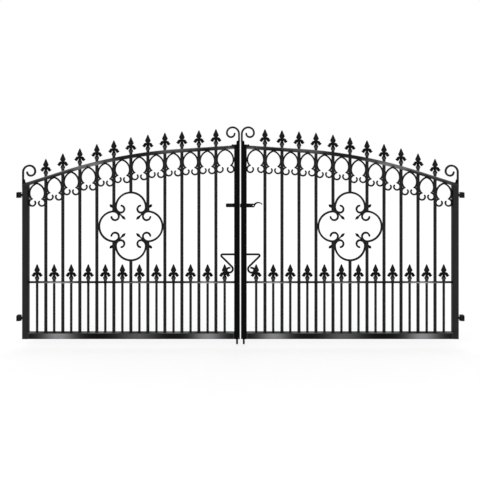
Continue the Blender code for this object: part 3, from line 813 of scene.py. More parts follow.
@dataclass(frozen=True)
class Arch:
    """Upper edge of a leaf: a straight run, an arc and another straight run."""

    width: float
    hinge_height: float = 1.0825
    meeting_height: float = 1.3525
    radius: float = 3.490
    hinge_bow: float = math.radians(7.7)
    meeting_bow: float = math.radians(6.35)
    rail_height: float = 0.025
    points: tuple[int, int, int] = (8, 63, 15)   # of the first run, the arc and the last run

    def edge(self, drop: Array | float) -> Array:
        """Lines at distances below the upper edge.

        The runs leave the ends of the chord at its lean plus or minus the bows. A line lower by d starts
        d / cos lower, and its arc about the common centre has the radius less d.

        Args:
            drop: distances below the upper edge.

        Returns:
            Points as stations x distances x (u, z).
        """
        d = np.atleast_1d(drop)
        rise = self.meeting_height - self.hinge_height
        chord, lean = math.hypot(self.width, rise), math.atan2(rise, self.width)
        first, last = lean + self.hinge_bow, lean - self.meeting_bow
        bend = self.hinge_bow + self.meeting_bow
        tangent = self.radius * math.tan(bend / 2)
        hinge_run, meeting_run = (chord * math.sin(bow) / math.sin(bend) - tangent
                                  for bow in (self.meeting_bow, self.hinge_bow))
        start = np.stack([np.zeros(len(d)), self.hinge_height - d / math.cos(first)], -1)
        share = np.linspace(0, 1, self.points[0])[:, None, None]
        run = start + share * (hinge_run + d * math.tan(first))[:, None] * [math.cos(first), math.sin(first)]
        r = (self.radius - d)[:, None]
        h = np.linspace(first, last, self.points[1] + 1)[1:, None, None]
        arc = run[-1] + r * [math.sin(first), -math.cos(first)] + r * np.concatenate([-np.sin(h), np.cos(h)], -1)
        share = np.linspace(0, 1, self.points[2] + 1)[1:, None, None]
        end = arc[-1] + share * (meeting_run - d * math.tan(last))[:, None] * [math.cos(last), math.sin(last)]
        return np.concatenate([run, arc, end])

    def height(self, u: Array | float, drop: float = 0.0) -> Array:
        """Height of the line a distance below the upper edge, at u."""
        return np.interp(u, *self.edge(drop)[:, 0].T)


@dataclass
class Ironwork:
    """What every sub-assembly has: its leaf's place, its arch and the way it dresses a piece."""

    space: LeafSpace
    arch: Arch
    coats: dict[Finish, bpy.types.Material]

    @property
    def middle(self) -> float:
        """Depth of the middle of the frame."""
        return self.space.frame_depth / 2

    @property
    def clear_span(self) -> Pair:
        """Ends of a piece between the stiles."""
        inner = self.space.frame_width + FIT
        return inner, self.space.width - inner

    @property
    def bolt_axis(self) -> Pair:
        """Place (u, y) of the drop bolt's axis."""
        return self.space.width - self.space.frame_width / 2, self.space.frame_depth + BOLT_BEHIND

    def node(self, word: str) -> str:
        """Full name of one of this leaf's nodes or bodies."""
        return word if word in UNSIDED else f"{self.space.side.word}_{word}"

    def under_arch(self, u: Array) -> Array:
        """Height of the arch rail's underside at u."""
        return self.arch.height(u, self.arch.rail_height)

    def cross_bar(self, z: float, section: Array) -> Skin:
        """A level bar of a section between the stiles, its middle at z, with a station every 12 mm."""
        u = np.linspace(*self.clear_span, math.ceil(np.ptp(self.clear_span) / 0.012))
        return carry(np.stack([u, np.full_like(u, z)], -1), section, self.middle)

    def dress(self, word: str, suffix: str, parts: list[Skin], finish: Finish, tone: Tone | float,
              body: str = "leaf", sharp: float = 40.0) -> None:
        """Make a piece that stands for a CAD node.

        Args:
            word: the node's name, less its side.
            suffix: what the piece's name adds to it.
            parts: its surfaces, in leaf coordinates.
            finish: its finish.
            tone: its grey, or that as a function of points and normals in leaf coordinates, which on some pieces adds
                painted reflections, painted highlights and painted shade.
            body: the body that carries it, less its side.
            sharp: angle in degrees from which an edge is sharp.
        """
        skin = join(parts)
        piece = to_object(f"{self.node(word)}_{suffix}", self.space.place(skin))
        mesh = piece.data
        mesh.materials.append(self.coats[finish])
        mesh.shade_smooth()
        mesh.set_sharp_from_angle(angle=math.radians(sharp))
        normals = np.empty(len(mesh.vertices) * 3)
        mesh.vertices.foreach_get("normal", normals)
        normals = normals.reshape(-1, 3) * [self.space.side.value, 1, 1]
        grey = tone(skin.points, normals) if callable(tone) else np.full(len(normals), tone)
        # the share carries the piece's grey and any painted reflections, highlights and shade
        share = bloom_for(grey, finish.value).astype(np.float32)
        mesh.attributes.new("bloom", "FLOAT", "POINT").data.foreach_set("value", share)
        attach(piece, self.node(body))
        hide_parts(self.node(word))
        LOG.info("%s: %d points, rides on %s", piece.name, len(mesh.vertices), self.node(body))


# ---------------------------------------------------------------- sub-assemblies

@dataclass
class CastHead:
    """Spear head cast in iron: a knop on a short neck, two drooping leaves and a ridged blade.

    Outlines are points (offset from the axis, height above the rail). A swell is a part's number of stations,
    its half thickness, the shares of it at the part's start and end, and the share of the way to its peak.
    """

    blade: Pairs = ((0.0060, 0.0520), (0.0080, 0.0590), (0.0112, 0.0655), (0.0172, 0.0728), (0.0202, 0.0800),
                    (0.0178, 0.0868), (0.0134, 0.0960), (0.0088, 0.1070), (0.0048, 0.1170), (0.0010, 0.1222))
    knop: Pairs = ((0.0106, 0.0030), (0.0112, 0.0110), (0.0146, 0.0180), (0.0168, 0.0240), (0.0148, 0.0305),
                   (0.0112, 0.0375), (0.0094, 0.0440), (0.0085, 0.0550))
    leaf_above: Pairs = ((0.0010, 0.0630), (0.0120, 0.0655), (0.0225, 0.0640), (0.0300, 0.0570),
                         (0.0332, 0.0500), (0.0400, 0.0465))
    leaf_below: Pairs = ((0.0010, 0.0475), (0.0090, 0.0475), (0.0128, 0.0425), (0.0175, 0.0360),
                         (0.0262, 0.0325), (0.0385, 0.0425))
    neck: Pairs = ((-0.0040, 0.0080), (0.0040, 0.0080), (0.0052, 0.0100), (0.0072, 0.0106), (0.0092, 0.0100),
                   (0.0102, 0.0088))   # (height, radius)
    blade_swell: tuple[float, ...] = (26, 0.0055, 0.60, 0.08, 0.35)
    knop_swell: tuple[float, ...] = (22, 0.0065, 0.75, 0.55, 0.30)
    leaf_swell: tuple[float, ...] = (24, 0.0048, 0.90, 0.25, 0.45)
    blade_ridge: float = 0.85
    knop_ridge: float = 0.75
    leaf_vein: float = -0.35

    @staticmethod
    def swell(count: int, full: float, start: float, end: float, peak: float) -> Array:
        """Half thickness along a part, with a peak.

        For f the share at the nearer end and s the share of the way from that end to the peak, it is
        full (f + (1 - f) sin(s pi / 2)).

        Args:
            count: number of stations.
            full: half thickness at the peak.
            start: share of it at the start.
            end: share of it at the end.
            peak: share of the way to the peak.

        Returns:
            The half thickness at each station.
        """
        t = np.linspace(0, 1, count)
        share = np.where(t < peak, t / peak, (1 - t) / (1 - peak))
        floor = np.where(t < peak, start, end)
        return full * (floor + (1 - floor) * np.sin(share * np.pi / 2))

    def casting(self) -> Skin:
        """The whole head about its axis at u = y = 0.

        Returns:
            One surface, welded of the head's parts.
        """
        upright = []
        for half, swell, ridge in ((self.blade, self.blade_swell, self.blade_ridge),
                                   (self.knop, self.knop_swell, self.knop_ridge)):
            line = smooth_line(half, swell[0])
            upright.append(leaf_form(line * [-1, 1], line, self.swell(*swell), ridge, 0.0))
        blade, knop = upright
        above, below = (smooth_line(line, self.leaf_swell[0]) for line in (self.leaf_above, self.leaf_below))
        leaves = [leaf_form(above * [side, 1], below * [side, 1], self.swell(*self.leaf_swell), self.leaf_vein, 0.0)
                  for side in (-1, 1)]
        return weld(Work.JOIN, blade, [knop, *leaves, turned(self.neck, (0, 0, 0), (0, 0, 1), sides=24)])


@dataclass
class Frame(Ironwork):
    """Tube frame of a leaf: two stiles and the bottom rail, with the guides of the drop bolt."""

    station: float = 0.03
    corner_bead: float = 0.0022        # across the top of the bottom rail at each end
    seam_bead: float = 0.0006          # up the rail's front and back at each end
    seam_bite: float = 0.0008
    bead_inset: float = 0.002
    guide_width: float = 0.030
    guide_height: float = 0.025
    guide_back: float = 0.0225
    guide_sink: float = 0.002
    guide_ease: float = 0.0012
    guide_power: float = 9
    guide_bead: float = 0.0018
    guide_bite: float = 0.0004
    bore: float = 0.0156
    lower_guide: float = 0.060
    upper_guide_top: float = 0.5711
    hinge_tone: float = 40.0
    meeting_tone: float = 4.0
    # painted shade on both sides of each stile
    inner_side_tone: float = 10.0
    # painted reflections: soft light bands (middle u, width, grey) along the rail's front and back
    bands: Bands = ((0.254, 0.135, 128.0), (0.805, 0.150, 78.0), (1.293, 0.125, 122.0))
    floor_tone: float = 6.0
    # painted sheen on the rail's top and underside, less the light of the bands
    top_tone: float = 95.0

    @property
    def tube(self) -> Array:
        """Section of the stiles and the bottom rail, with eased edges."""
        return eased_section(self.space.frame_width, self.space.frame_depth, TUBE_EASE)

    def stile(self, start: float) -> Skin:
        """A stile that starts at u, cut at its top to the slope of the arch rail."""
        width, rows = self.space.frame_width, math.ceil(self.under_arch(start) / self.station) + 1
        return upright(self.tube, start + width / 2, self.middle, 0, lambda u: self.under_arch(u) - FIT, rows)

    def stile_tone(self, front: float) -> Tone:
        """Tone of a stile: its face grey, and painted shade that darkens its sides."""
        return lambda points, normals: (front * (1 - np.abs(normals[:, 0]))
                                        + self.inner_side_tone * np.abs(normals[:, 0]))

    def rail_tone(self, points: Array, normals: Array) -> Array:
        """Tone of the bottom rail: painted reflections in soft light bands on its front and back, and a painted
        sheen, less them, on its top and underside.
        """
        light, facing = banded(points, self.bands), normals[:, 1] ** 2
        return self.floor_tone + light * facing + np.clip(self.top_tone - light, 0, None) * (1 - facing)

    def guide(self, low: float) -> Skin:
        """A guide of the drop bolt: a block with rounded corners, bored for the rod.

        At the angle a round the bore, the block's side lies at 1 / (|cos a / half width|^p + |sin a / half
        depth|^p)^(1/p), for p the guide's power.

        Args:
            low: height of its lower face.

        Returns:
            The closed surface.
        """
        high, ease, a = low + self.guide_height, self.guide_ease, circle(96)[:, None]
        c, s = np.cos(a), np.sin(a)
        half_depth = np.where(s > 0, self.guide_back - BOLT_BEHIND, BOLT_BEHIND + self.guide_sink)
        reach = ((np.abs(c) / (self.guide_width / 2)) ** self.guide_power
                 + (np.abs(s) / half_depth) ** self.guide_power) ** (-1 / self.guide_power)
        bore = np.full((len(a), 1), self.bore / 2)
        radial = np.concatenate([reach - ease * np.array([0, 0, ROUNDED, 1]), bore + ease * np.array([1, 0, 0, 1]),
                                 reach - ease * np.array([1, ROUNDED])], 1)
        z = np.array([low + ease, high - ease, high - ROUNDED * ease, high, high, high - ease, low + ease, low, low,
                      low + ROUNDED * ease])
        u, y = self.bolt_axis
        return sheet(u + radial * c, y + radial * s, z, closed_path=True)

    def build(self) -> None:
        """Build the frame, with its welds."""
        width, depth = self.space.frame_width, self.space.frame_depth
        self.dress("hinge_stile", "tube", [self.stile(0)], Finish.TUBE, self.stile_tone(self.hinge_tone))
        start = self.space.width - width
        parts = [self.stile(start)]
        for low in (self.lower_guide, self.upper_guide_top - self.guide_height):
            parts.append(self.guide(low))
            for side in (-1, 1):
                u = start + width / 2 + side * (self.guide_width / 2 - self.guide_bite)
                parts.append(weld_line((u, depth, low + self.bead_inset),
                                       (u, depth, low + self.guide_height - self.bead_inset), self.guide_bead))
        self.dress("meeting_stile", "tube", parts, Finish.TUBE, self.stile_tone(self.meeting_tone))
        parts = [self.cross_bar(width / 2, self.tube)]
        for u in self.clear_span:
            parts += [weld_line((u, y, self.bead_inset), (u, y, width - self.bead_inset / 2), self.seam_bead)
                      for y in (self.seam_bite, depth - self.seam_bite)]
            parts.append(weld_line((u, self.bead_inset, width), (u, depth - self.bead_inset, width),
                                   self.corner_bead))
        self.dress("bottom_rail", "tube", parts, Finish.TUBE, self.rail_tone)


@dataclass
class Uprights(Ironwork):
    """The full-height round bars, each with its cast head and its welds, and what the rings stand between."""

    head: Skin
    diameter: float = 0.021
    fuller: float = 0.0006             # by which a bar stands out of its nominal size
    count: int = 11
    sides: int = 28
    rows: int = 24
    bead: float = 0.0021
    neck: float = 0.0082
    neck_bead: float = 0.0020
    bar_tone: float = 33.0

    def axes(self) -> Array:
        """The axes of all the uprights, evenly from the first to the last."""
        return np.linspace(*(self.space.middle_of(self.node(f"upright_{n}"))[0] for n in (1, self.count)), self.count)

    def bar(self, u: float, low: float, top: Height) -> Skin:
        """A round bar about u, from the height of its foot to the slope of its upper end."""
        section = round_section(self.diameter + 2 * self.fuller, self.sides)
        return upright(section, u, self.middle, low, top, self.rows)

    def inside_rail(self, u: Array) -> Array:
        """Height of the middle of the arch rail at u, where a bar ends."""
        return self.arch.height(u, self.arch.rail_height / 2)

    def seams(self, u: float) -> list[Skin]:
        """Weld beads where a bar meets the bottom rail, both faces of the flat rail and the arch rail."""
        heights = [level(z) for z in (self.space.frame_width, *DOG_RAIL)] + [self.under_arch]
        return [weld_ring(u, self.middle, self.diameter / 2, self.bead, height) for height in heights]

    def head_on(self, u: float, base: float) -> list[Skin]:
        """A cast head above a height, with the weld at its foot."""
        return [self.head.moved((u, self.middle, base)),
                weld_ring(u, self.middle, self.neck, self.neck_bead, level(base))]

    def crown(self, word: str, axes: Array) -> None:
        """Dress the cast heads that stand on the arch, over the axes of one node's bars."""
        heads = [skin for u in axes for skin in self.head_on(u, float(self.arch.height(u)))]
        self.dress(word, "head", heads, Finish.CAST,
                   lambda points, normals: head_grey(points[:, 2] - self.arch.height(points[:, 0]), normals))

    def build(self) -> None:
        """Build the uprights, apart from the three that the quatrefoil interrupts."""
        for index, u in enumerate(self.axes()):
            if abs(index - self.count // 2) > 1:
                word = f"upright_{index + 1}"
                bar = self.bar(u, self.space.frame_width, self.inside_rail)
                self.dress(word, "bar", [bar, *self.seams(u)], Finish.BAR, self.bar_tone)
                self.crown(word, [u])


@dataclass
class ArchRail(Ironwork):
    """Arched top rail with the row of horseshoe rings under it."""

    axes: Array
    longest_side: float = 0.0055
    rows: int = 260
    strip: float = 0.010
    strip_ease: float = 0.0018
    inner_radius: float = 0.0684
    centre_drop: float = 0.0970
    beside_axis: float = 0.0034
    lower_radius: float = 0.0555
    lower_turn: float = 44.5
    fold: Pair = (0.0068, 0.0048)      # half width and half height of the knuckle at each cusp
    fold_inset: float = 0.002
    fold_recess: float = 0.0008
    fold_ease: float = 0.0012
    curl: Pairs = ((0.0285, -70), (0.0222, -180), (0.0125, -75))
    curl_heading: float = math.radians(-20)
    first_sag: float = 0.004
    # painted reflections and a painted lighter top: at each u, the grey of the top and of the face's upper edge,
    # middle and lower edge
    shades: tuple[tuple[float, ...], ...] = (
        (0.00, 60, 42, 40, 40), (0.035, 60, 44, 40, 40), (0.055, 115, 70, 54, 48), (0.10, 130, 75, 52, 48),
        (0.20, 200, 104, 40, 34), (0.33, 200, 112, 46, 36), (0.38, 150, 96, 92, 84), (0.45, 130, 92, 92, 96),
        (0.50, 120, 88, 105, 120), (0.58, 90, 62, 68, 88), (0.62, 80, 55, 60, 84), (0.69, 60, 22, 26, 44),
        (0.86, 60, 20, 24, 42), (0.93, 70, 44, 42, 40), (0.98, 110, 72, 64, 58), (1.04, 120, 78, 72, 66),
        (1.10, 130, 78, 66, 52), (1.20, 140, 66, 48, 34), (1.27, 140, 52, 16, 26), (1.33, 110, 44, 36, 36),
        (1.40, 120, 44, 52, 64), (1.44, 110, 34, 70, 130), (1.475, 110, 24, 40, 150), (1.484, 20, 4, 4, 4),
        (1.52, 20, 4, 4, 4))
    joint_shade: Pair = (0.009, 0.75)  # width and strength of the shade over each ring's joint
    shade_start: float = 0.6           # of that shade, in half heights of the rail below its top
    upward: float = 0.75               # rise of a normal from which a point counts as the rail's top
    ring_tone: float = 28.0

    def rail(self) -> Skin:
        """The rail: an eased section whose points each follow the arch at their own depth below it.

        Returns:
            The closed surface.
        """
        height = self.arch.rail_height
        section = filled(eased_section(height, self.space.frame_depth, TUBE_EASE), self.longest_side)
        line = self.arch.edge(height / 2 - section[:, 0])
        at = np.linspace(0, len(line) - 1, self.rows)
        before = np.minimum(at.astype(int), len(line) - 2)
        part = (at - before)[:, None, None]
        line = line[before] * (1 - part) + line[before + 1] * part
        return sheet(line[..., 0], self.middle + section[:, 1], line[..., 1])

    def spans(self) -> list[Pair]:
        """Left and right limits of each ring: beside an upright's axis, or at a stile's inner face."""
        start, end = self.clear_span
        return list(zip([start, *(self.axes + self.beside_axis)], [*(self.axes - self.beside_axis), end]))

    def ring(self, left: float, right: float) -> Skin:
        """One horseshoe ring: an arch whose sides turn back in a sharp cusp and end in curls.

        The upper arcs meet in a point under the rail, because their centres lie beyond the ring's middle.

        Args:
            left: its left limit.
            right: its right limit.

        Returns:
            The forging.
        """
        centre, radius = (left + right) / 2, self.inner_radius + self.strip / 2
        past = self.inner_radius + self.strip - (right - left) / 2
        apex_angle = math.acos(past / radius)
        sag = self.first_sag if left < self.axes[0] else 0.0
        height = float(self.arch.height(centre)) - self.centre_drop - sag
        side = flat_route((centre, height + radius * math.sin(apex_angle)), apex_angle - math.pi / 2,
                          [(radius, -math.degrees(apex_angle)), (self.lower_radius, -self.lower_turn)])
        curl = flat_route(side[-1], self.curl_heading, self.curl, step=6)
        path = both_ways(np.concatenate([side, curl[1:]]), centre)
        section = eased_section(self.strip + 2 * FULLER, self.strip, self.strip_ease, steps=2)
        parts = [forge(path, section, self.middle, spacing=0.0035, tail=(0.030, 0.030), thin=0.95)]
        half, arm = self.strip / 2 - self.fold_recess, side[-1, 0] - centre - self.fold_inset
        fold = round_section(2, sides=24) * self.fold
        parts += [slab(fold + [centre + turn * arm, side[-1, 1]], self.middle - half, self.middle + half,
                       self.fold_ease) for turn in (-1, 1)]
        return join(parts)

    def tone(self, points: Array, normals: Array) -> Array:
        """Tone of the rail: painted reflections in lighter and darker bands along it, on its top and down its face.

        The table of painted sheen gives, at values of u, the grey of the top, and of the face's upper edge, middle
        and lower edge.
        Over each ring's joint of middle m, a band of width w takes the strength times exp(-((u - m) / w)^2).

        Args:
            points: its points.
            normals: their normals.

        Returns:
            The greys.
        """
        # painted reflections along the rail, and a painted lighter top
        u, *columns = np.array(self.shades).T
        top, upper, middle, lower = (np.interp(points[:, 0], u, column) for column in columns)
        down = np.clip((self.arch.height(points[:, 0]) - points[:, 2]) / self.arch.rail_height, 0, 1) * 2
        grey = np.where(down < 1, upper + (middle - upper) * down, middle + (lower - middle) * (down - 1))
        width, strength = self.joint_shade
        near = banded(points, [(sum(span) / 2, width, 1) for span in self.spans()])
        grey = grey * (1 - strength * near * np.clip(down - self.shade_start, 0, 1))
        return np.where(normals[:, 2] > self.upward, top, grey)

    def build(self) -> None:
        """Build the rail and its rings."""
        self.dress("top_rail", "tube", [self.rail()], Finish.TUBE, self.tone)
        self.dress("top_rail", "rings", [self.ring(*span) for span in self.spans()], Finish.FORGED, self.ring_tone)


@dataclass
class DogBarPanel(Ironwork):
    """Flat rail with the short bars under it and their cast heads on top."""

    bars: Uprights
    count: int = 12
    diameter: float = 0.016
    first: float = 0.0983
    last: float = 0.1065
    rail_depth: float = 0.030
    rail_ease: float = 0.0010
    sink: float = 0.002
    bead: float = 0.0018
    # painted reflections: soft light bands (middle u, width, grey) along the flat rail
    bands: Bands = ((0.254, 0.135, 130.0), (0.805, 0.140, 95.0), (1.293, 0.130, 125.0))
    ground: float = 6.0

    def build(self) -> None:
        """Build the panel."""
        word, floor, (low, high) = "dog_bar_panel", self.space.frame_width, DOG_RAIL
        rail = self.cross_bar((low + high) / 2, eased_section(high - low, self.rail_depth, self.rail_ease, steps=2))
        # the flat rail: a near-black grey with painted reflections in bands
        self.dress(word, "rail", [rail], Finish.BAR, lambda points, normals: self.ground + banded(points, self.bands))
        radius = self.diameter / 2 + self.bars.fuller
        bars, heads = [], []
        for u in np.linspace(self.first, self.space.width - self.last, self.count):
            bars.append(turned(((floor, radius), (low + self.sink, radius)), (u, self.middle, 0), (0, 0, 1),
                               sides=24))
            bars += [weld_ring(u, self.middle, radius, self.bead, level(z)) for z in (floor, low)]
            heads += self.bars.head_on(u, high)
        self.dress(word, "bars", bars, Finish.BAR, self.bars.bar_tone)
        self.dress(word, "heads", heads, Finish.CAST,
                   lambda points, normals: head_grey(points[:, 2] - high, normals))


@dataclass
class Quatrefoil(Ironwork):
    """Four C-scrolls tied by spears, and the short uprights above and below them."""

    bars: Uprights
    axes: Array
    strip: float = 0.012
    strip_ease: float = 0.0020
    height: float = 0.782
    lobe_proportion: float = 0.4745
    lobe_rise: float = 1.259
    arcs: Pairs = ((1.0, 88), (0.37, 60), (0.30, 32), (0.232, 187))
    side_arcs: Pairs = ((1.0, 85), (0.37, 63), (0.30, 32), (0.248, 187))
    spear_offset: Pair = (0.885, 0.959)
    spear_heading: Pair = (0.724, 0.690)
    spear_to_lobe: float = 0.0728
    spear_bite: float = 0.0025
    spear_length: float = 1.40
    spear_width: float = 0.019
    spear_form: Pairs = ((-0.52, 0.20), (-0.475, 0.80), (-0.42, 1.05), (-0.34, 0.68), (-0.26, 0.56), (-0.16, 0.62),
                         (0.0, 1.05), (0.13, 0.58), (0.26, 0.58), (0.33, 0.86), (0.39, 1.04), (0.45, 0.80),
                         (0.525, 0.10))   # (share of the length, width against the spear's or, at 0, the waist's)
    spear_tip: float = 0.0004
    spear_fullness: float = 0.75       # half thickness against the width
    spear_thickness: Pair = (0.0010, 0.0066)
    spear_ridge: float = 0.6
    flank_clear: float = 0.0040
    scroll_tone: float = 30.0
    spear_tone: float = 14.0

    @property
    def centre(self) -> Array:
        """Middle of the quatrefoil."""
        return np.array([self.axes[len(self.axes) // 2], self.height])

    def lobe(self, radius: float, offset: float, turn: float, arcs: Pairs) -> Skin:
        """A C-scroll: a wide arc that tightens at both ends into a curl, turned about the middle.

        Args:
            radius: the wide arc's radius.
            offset: from the middle of the quatrefoil to the wide arc's.
            turn: angle from the upper lobe's place, in radians.
            arcs: radius, as a share of the wide arc's, and turn of each arc.

        Returns:
            The forging.
        """
        moves = [(radius * size, angle) for size, angle in arcs]
        path = both_ways(flat_route((0, offset + radius), math.pi, moves, step=3))
        c, s = math.cos(turn), math.sin(turn)
        section = eased_section(self.strip + 2 * FULLER, self.strip, self.strip_ease, steps=2)
        return forge(self.centre + path @ np.array([[c, s], [-s, c]]), section, self.middle, spacing=0.004,
                     tail=(0.040, 0.040), thin=0.95)

    def spear(self, radius: float, side: Pair) -> Skin:
        """A double-ended spear between two lobes: a small leaf outside, a waist, and a pointed leaf inside.

        Args:
            radius: radius of a lobe.
            side: its sides of the middle along u and z, each -1 or 1.

        Returns:
            The closed surface.
        """
        direction = -np.array(side) * self.spear_heading
        normal = direction[::-1] * [-1, 1]
        waist = 2 * (self.spear_to_lobe * radius + self.spear_bite) - self.strip
        form = tuple((share, size * (self.spear_width if share else waist)) for share, size in self.spear_form)
        share, width = smooth_line(form, count=84).T[..., None]
        place = (self.centre + np.array(side) * self.spear_offset * radius
                 + direction * self.spear_length * radius * share)
        half = 0.5 * np.maximum(width, self.spear_tip) * normal
        thickness = np.clip(self.spear_fullness * width[:, 0], *self.spear_thickness)
        return leaf_form(place - half, place + half, thickness, self.spear_ridge, self.middle)

    def build(self) -> None:
        """Build the quatrefoil with its short uprights."""
        middle = len(self.axes) // 2
        half_width = 2 * (self.axes[1] - self.axes[0]) - self.bars.diameter / 2 - FIT - self.strip / 2
        radius = self.lobe_proportion * half_width
        rise, reach = self.lobe_rise * radius, half_width - radius
        lobes = [self.lobe(radius, offset, quarter * math.pi / 2, arcs) for quarter, offset, arcs in
                 ((0, rise, self.arcs), (1, reach, self.side_arcs), (2, rise, self.arcs),
                  (-1, reach, self.side_arcs))]
        self.dress("quatrefoil", "scrolls", lobes, Finish.FORGED, self.scroll_tone)
        spears = [self.spear(radius, (u, z)) for u in (-1, 1) for z in (-1, 1)]
        self.dress("quatrefoil", "spears", spears, Finish.CAST, self.spear_tone)
        bars = []
        for index, u in enumerate(self.axes[middle - 1:middle + 2]):
            half = rise + radius if index == 1 else radius + self.flank_clear
            bars += [self.bars.bar(u, self.height + half, self.bars.inside_rail),
                     self.bars.bar(u, self.space.frame_width, level(self.height - half)), *self.bars.seams(u)]
        self.dress("quatrefoil", "bars", bars, Finish.BAR, self.bars.bar_tone)
        self.bars.crown("quatrefoil", self.axes[middle - 1:middle + 2])


@dataclass(frozen=True)
class ScrollForm:
    """What sets one stile's scroll apart: radii of its quarter turns, its height and its foot's width."""

    arcs: tuple[float, ...]
    height: float
    foot: float


class End(Enum):
    """The two ends of a leaf, each with the form of its scroll."""

    HINGE = ScrollForm((0.045, 0.0395, 0.031, 0.025), 0.1272, 0.0085)
    MEETING = ScrollForm((0.0455, 0.0390, 0.0290, 0.025), 0.1243, 0.0130)


@dataclass
class StileScrolls(Ironwork):
    """The scroll and foot on top of each stile."""

    strip: float = 0.012
    strip_ease: float = 0.0020
    thinner: float = 0.0004
    tip: Pair = (0.020, -17)
    foot_height: float = 0.031
    foot_ease: float = 0.0012
    toe: Pair = (0.006, 0.0075)
    shoulder: Pairs = ((0.0015, 0.004), (0.0045, 0.0))
    bead: float = 0.0016
    bead_inset: float = 0.002
    saddle: Pair = (0.0595, 0.0062)    # how far it reaches from the edge, and its height
    saddle_sink: float = 0.0010
    saddle_lift: float = 0.0004
    saddle_depth: Pair = (0.0012, 0.018)
    saddle_ease: float = 0.0006
    scroll_tone: float = 34.0
    foot_tone: float = 6.0
    tone_seam: float = 0.001           # height above the foot where the one tone gives way to the other

    def make_saddle(self, edge: float, inner: float, side: int) -> Skin:
        """The low mound of metal that runs from the foot along the arch.

        At the share t of the way it is h (1 + 0.55 exp(-((t - 0.84) / 0.15)^2)) sqrt(1 - t^12) high.

        Args:
            edge: u of the leaf's edge.
            inner: u of the foot's inner side.
            side: sense of u from the edge inwards.

        Returns:
            The closed surface.
        """
        t = np.linspace(0, 1, 24)
        u = inner + (edge + side * self.saddle[0] - inner) * t
        swell = self.saddle[1] * (1 + 0.55 * np.exp(-((t - 0.84) / 0.15) ** 2)) * np.sqrt(1 - t ** 12)
        under, over = (np.stack([u, self.arch.height(u) + lift], -1)
                       for lift in (-self.saddle_sink, swell + self.saddle_lift))
        return slab(np.concatenate([under, over[::-1]]), *self.saddle_depth, self.saddle_ease)

    def scroll(self, end: End) -> None:
        """Build one scroll with its foot.

        Args:
            end: the end of the leaf that it stands at.
        """
        edge, side = (self.space.width, -1) if end is End.MEETING else (0.0, 1)
        inner = edge + side * (self.strip + end.value.foot)
        foot_top = float(self.arch.height(edge)) + self.foot_height
        outside, inside = self.arch.height(np.array([edge, inner])) + FIT
        outline = [(edge, outside), (inner + side * self.toe[0], inside), (inner, inside + self.toe[1]),
                   *((inner - side * back, foot_top - down) for back, down in self.shoulder), (edge, foot_top)]
        first = end.value.arcs[0]
        moves = [(end.value.height - first - self.foot_height / 2, 0), *((radius, -90) for radius in end.value.arcs),
                 self.tip]
        path = flat_route((self.strip / 2, foot_top - self.foot_height / 2), math.pi / 2, moves, step=3)
        section = eased_section(self.strip + 2 * FULLER, self.strip - self.thinner, self.strip_ease, steps=2)
        parts = [slab(np.array(outline), 0.0, self.strip, self.foot_ease),
                 forge(path * [side, 1] + [edge, 0], section, self.strip / 2, tail=(0.0, 0.040), thin=0.92),
                 weld_line((inner, self.strip, inside), (edge + side * self.bead_inset, self.strip, outside),
                           self.bead)]
        if end is End.MEETING:
            parts.append(self.make_saddle(edge, inner, side))
        self.dress(f"{end.name.lower()}_scroll", "forging", parts, Finish.FORGED,
                   lambda points, normals: np.where(points[:, 2] < foot_top + self.tone_seam, self.foot_tone,
                                                    self.scroll_tone))

    def build(self) -> None:
        """Build both scrolls."""
        for end in End:
            self.scroll(end)


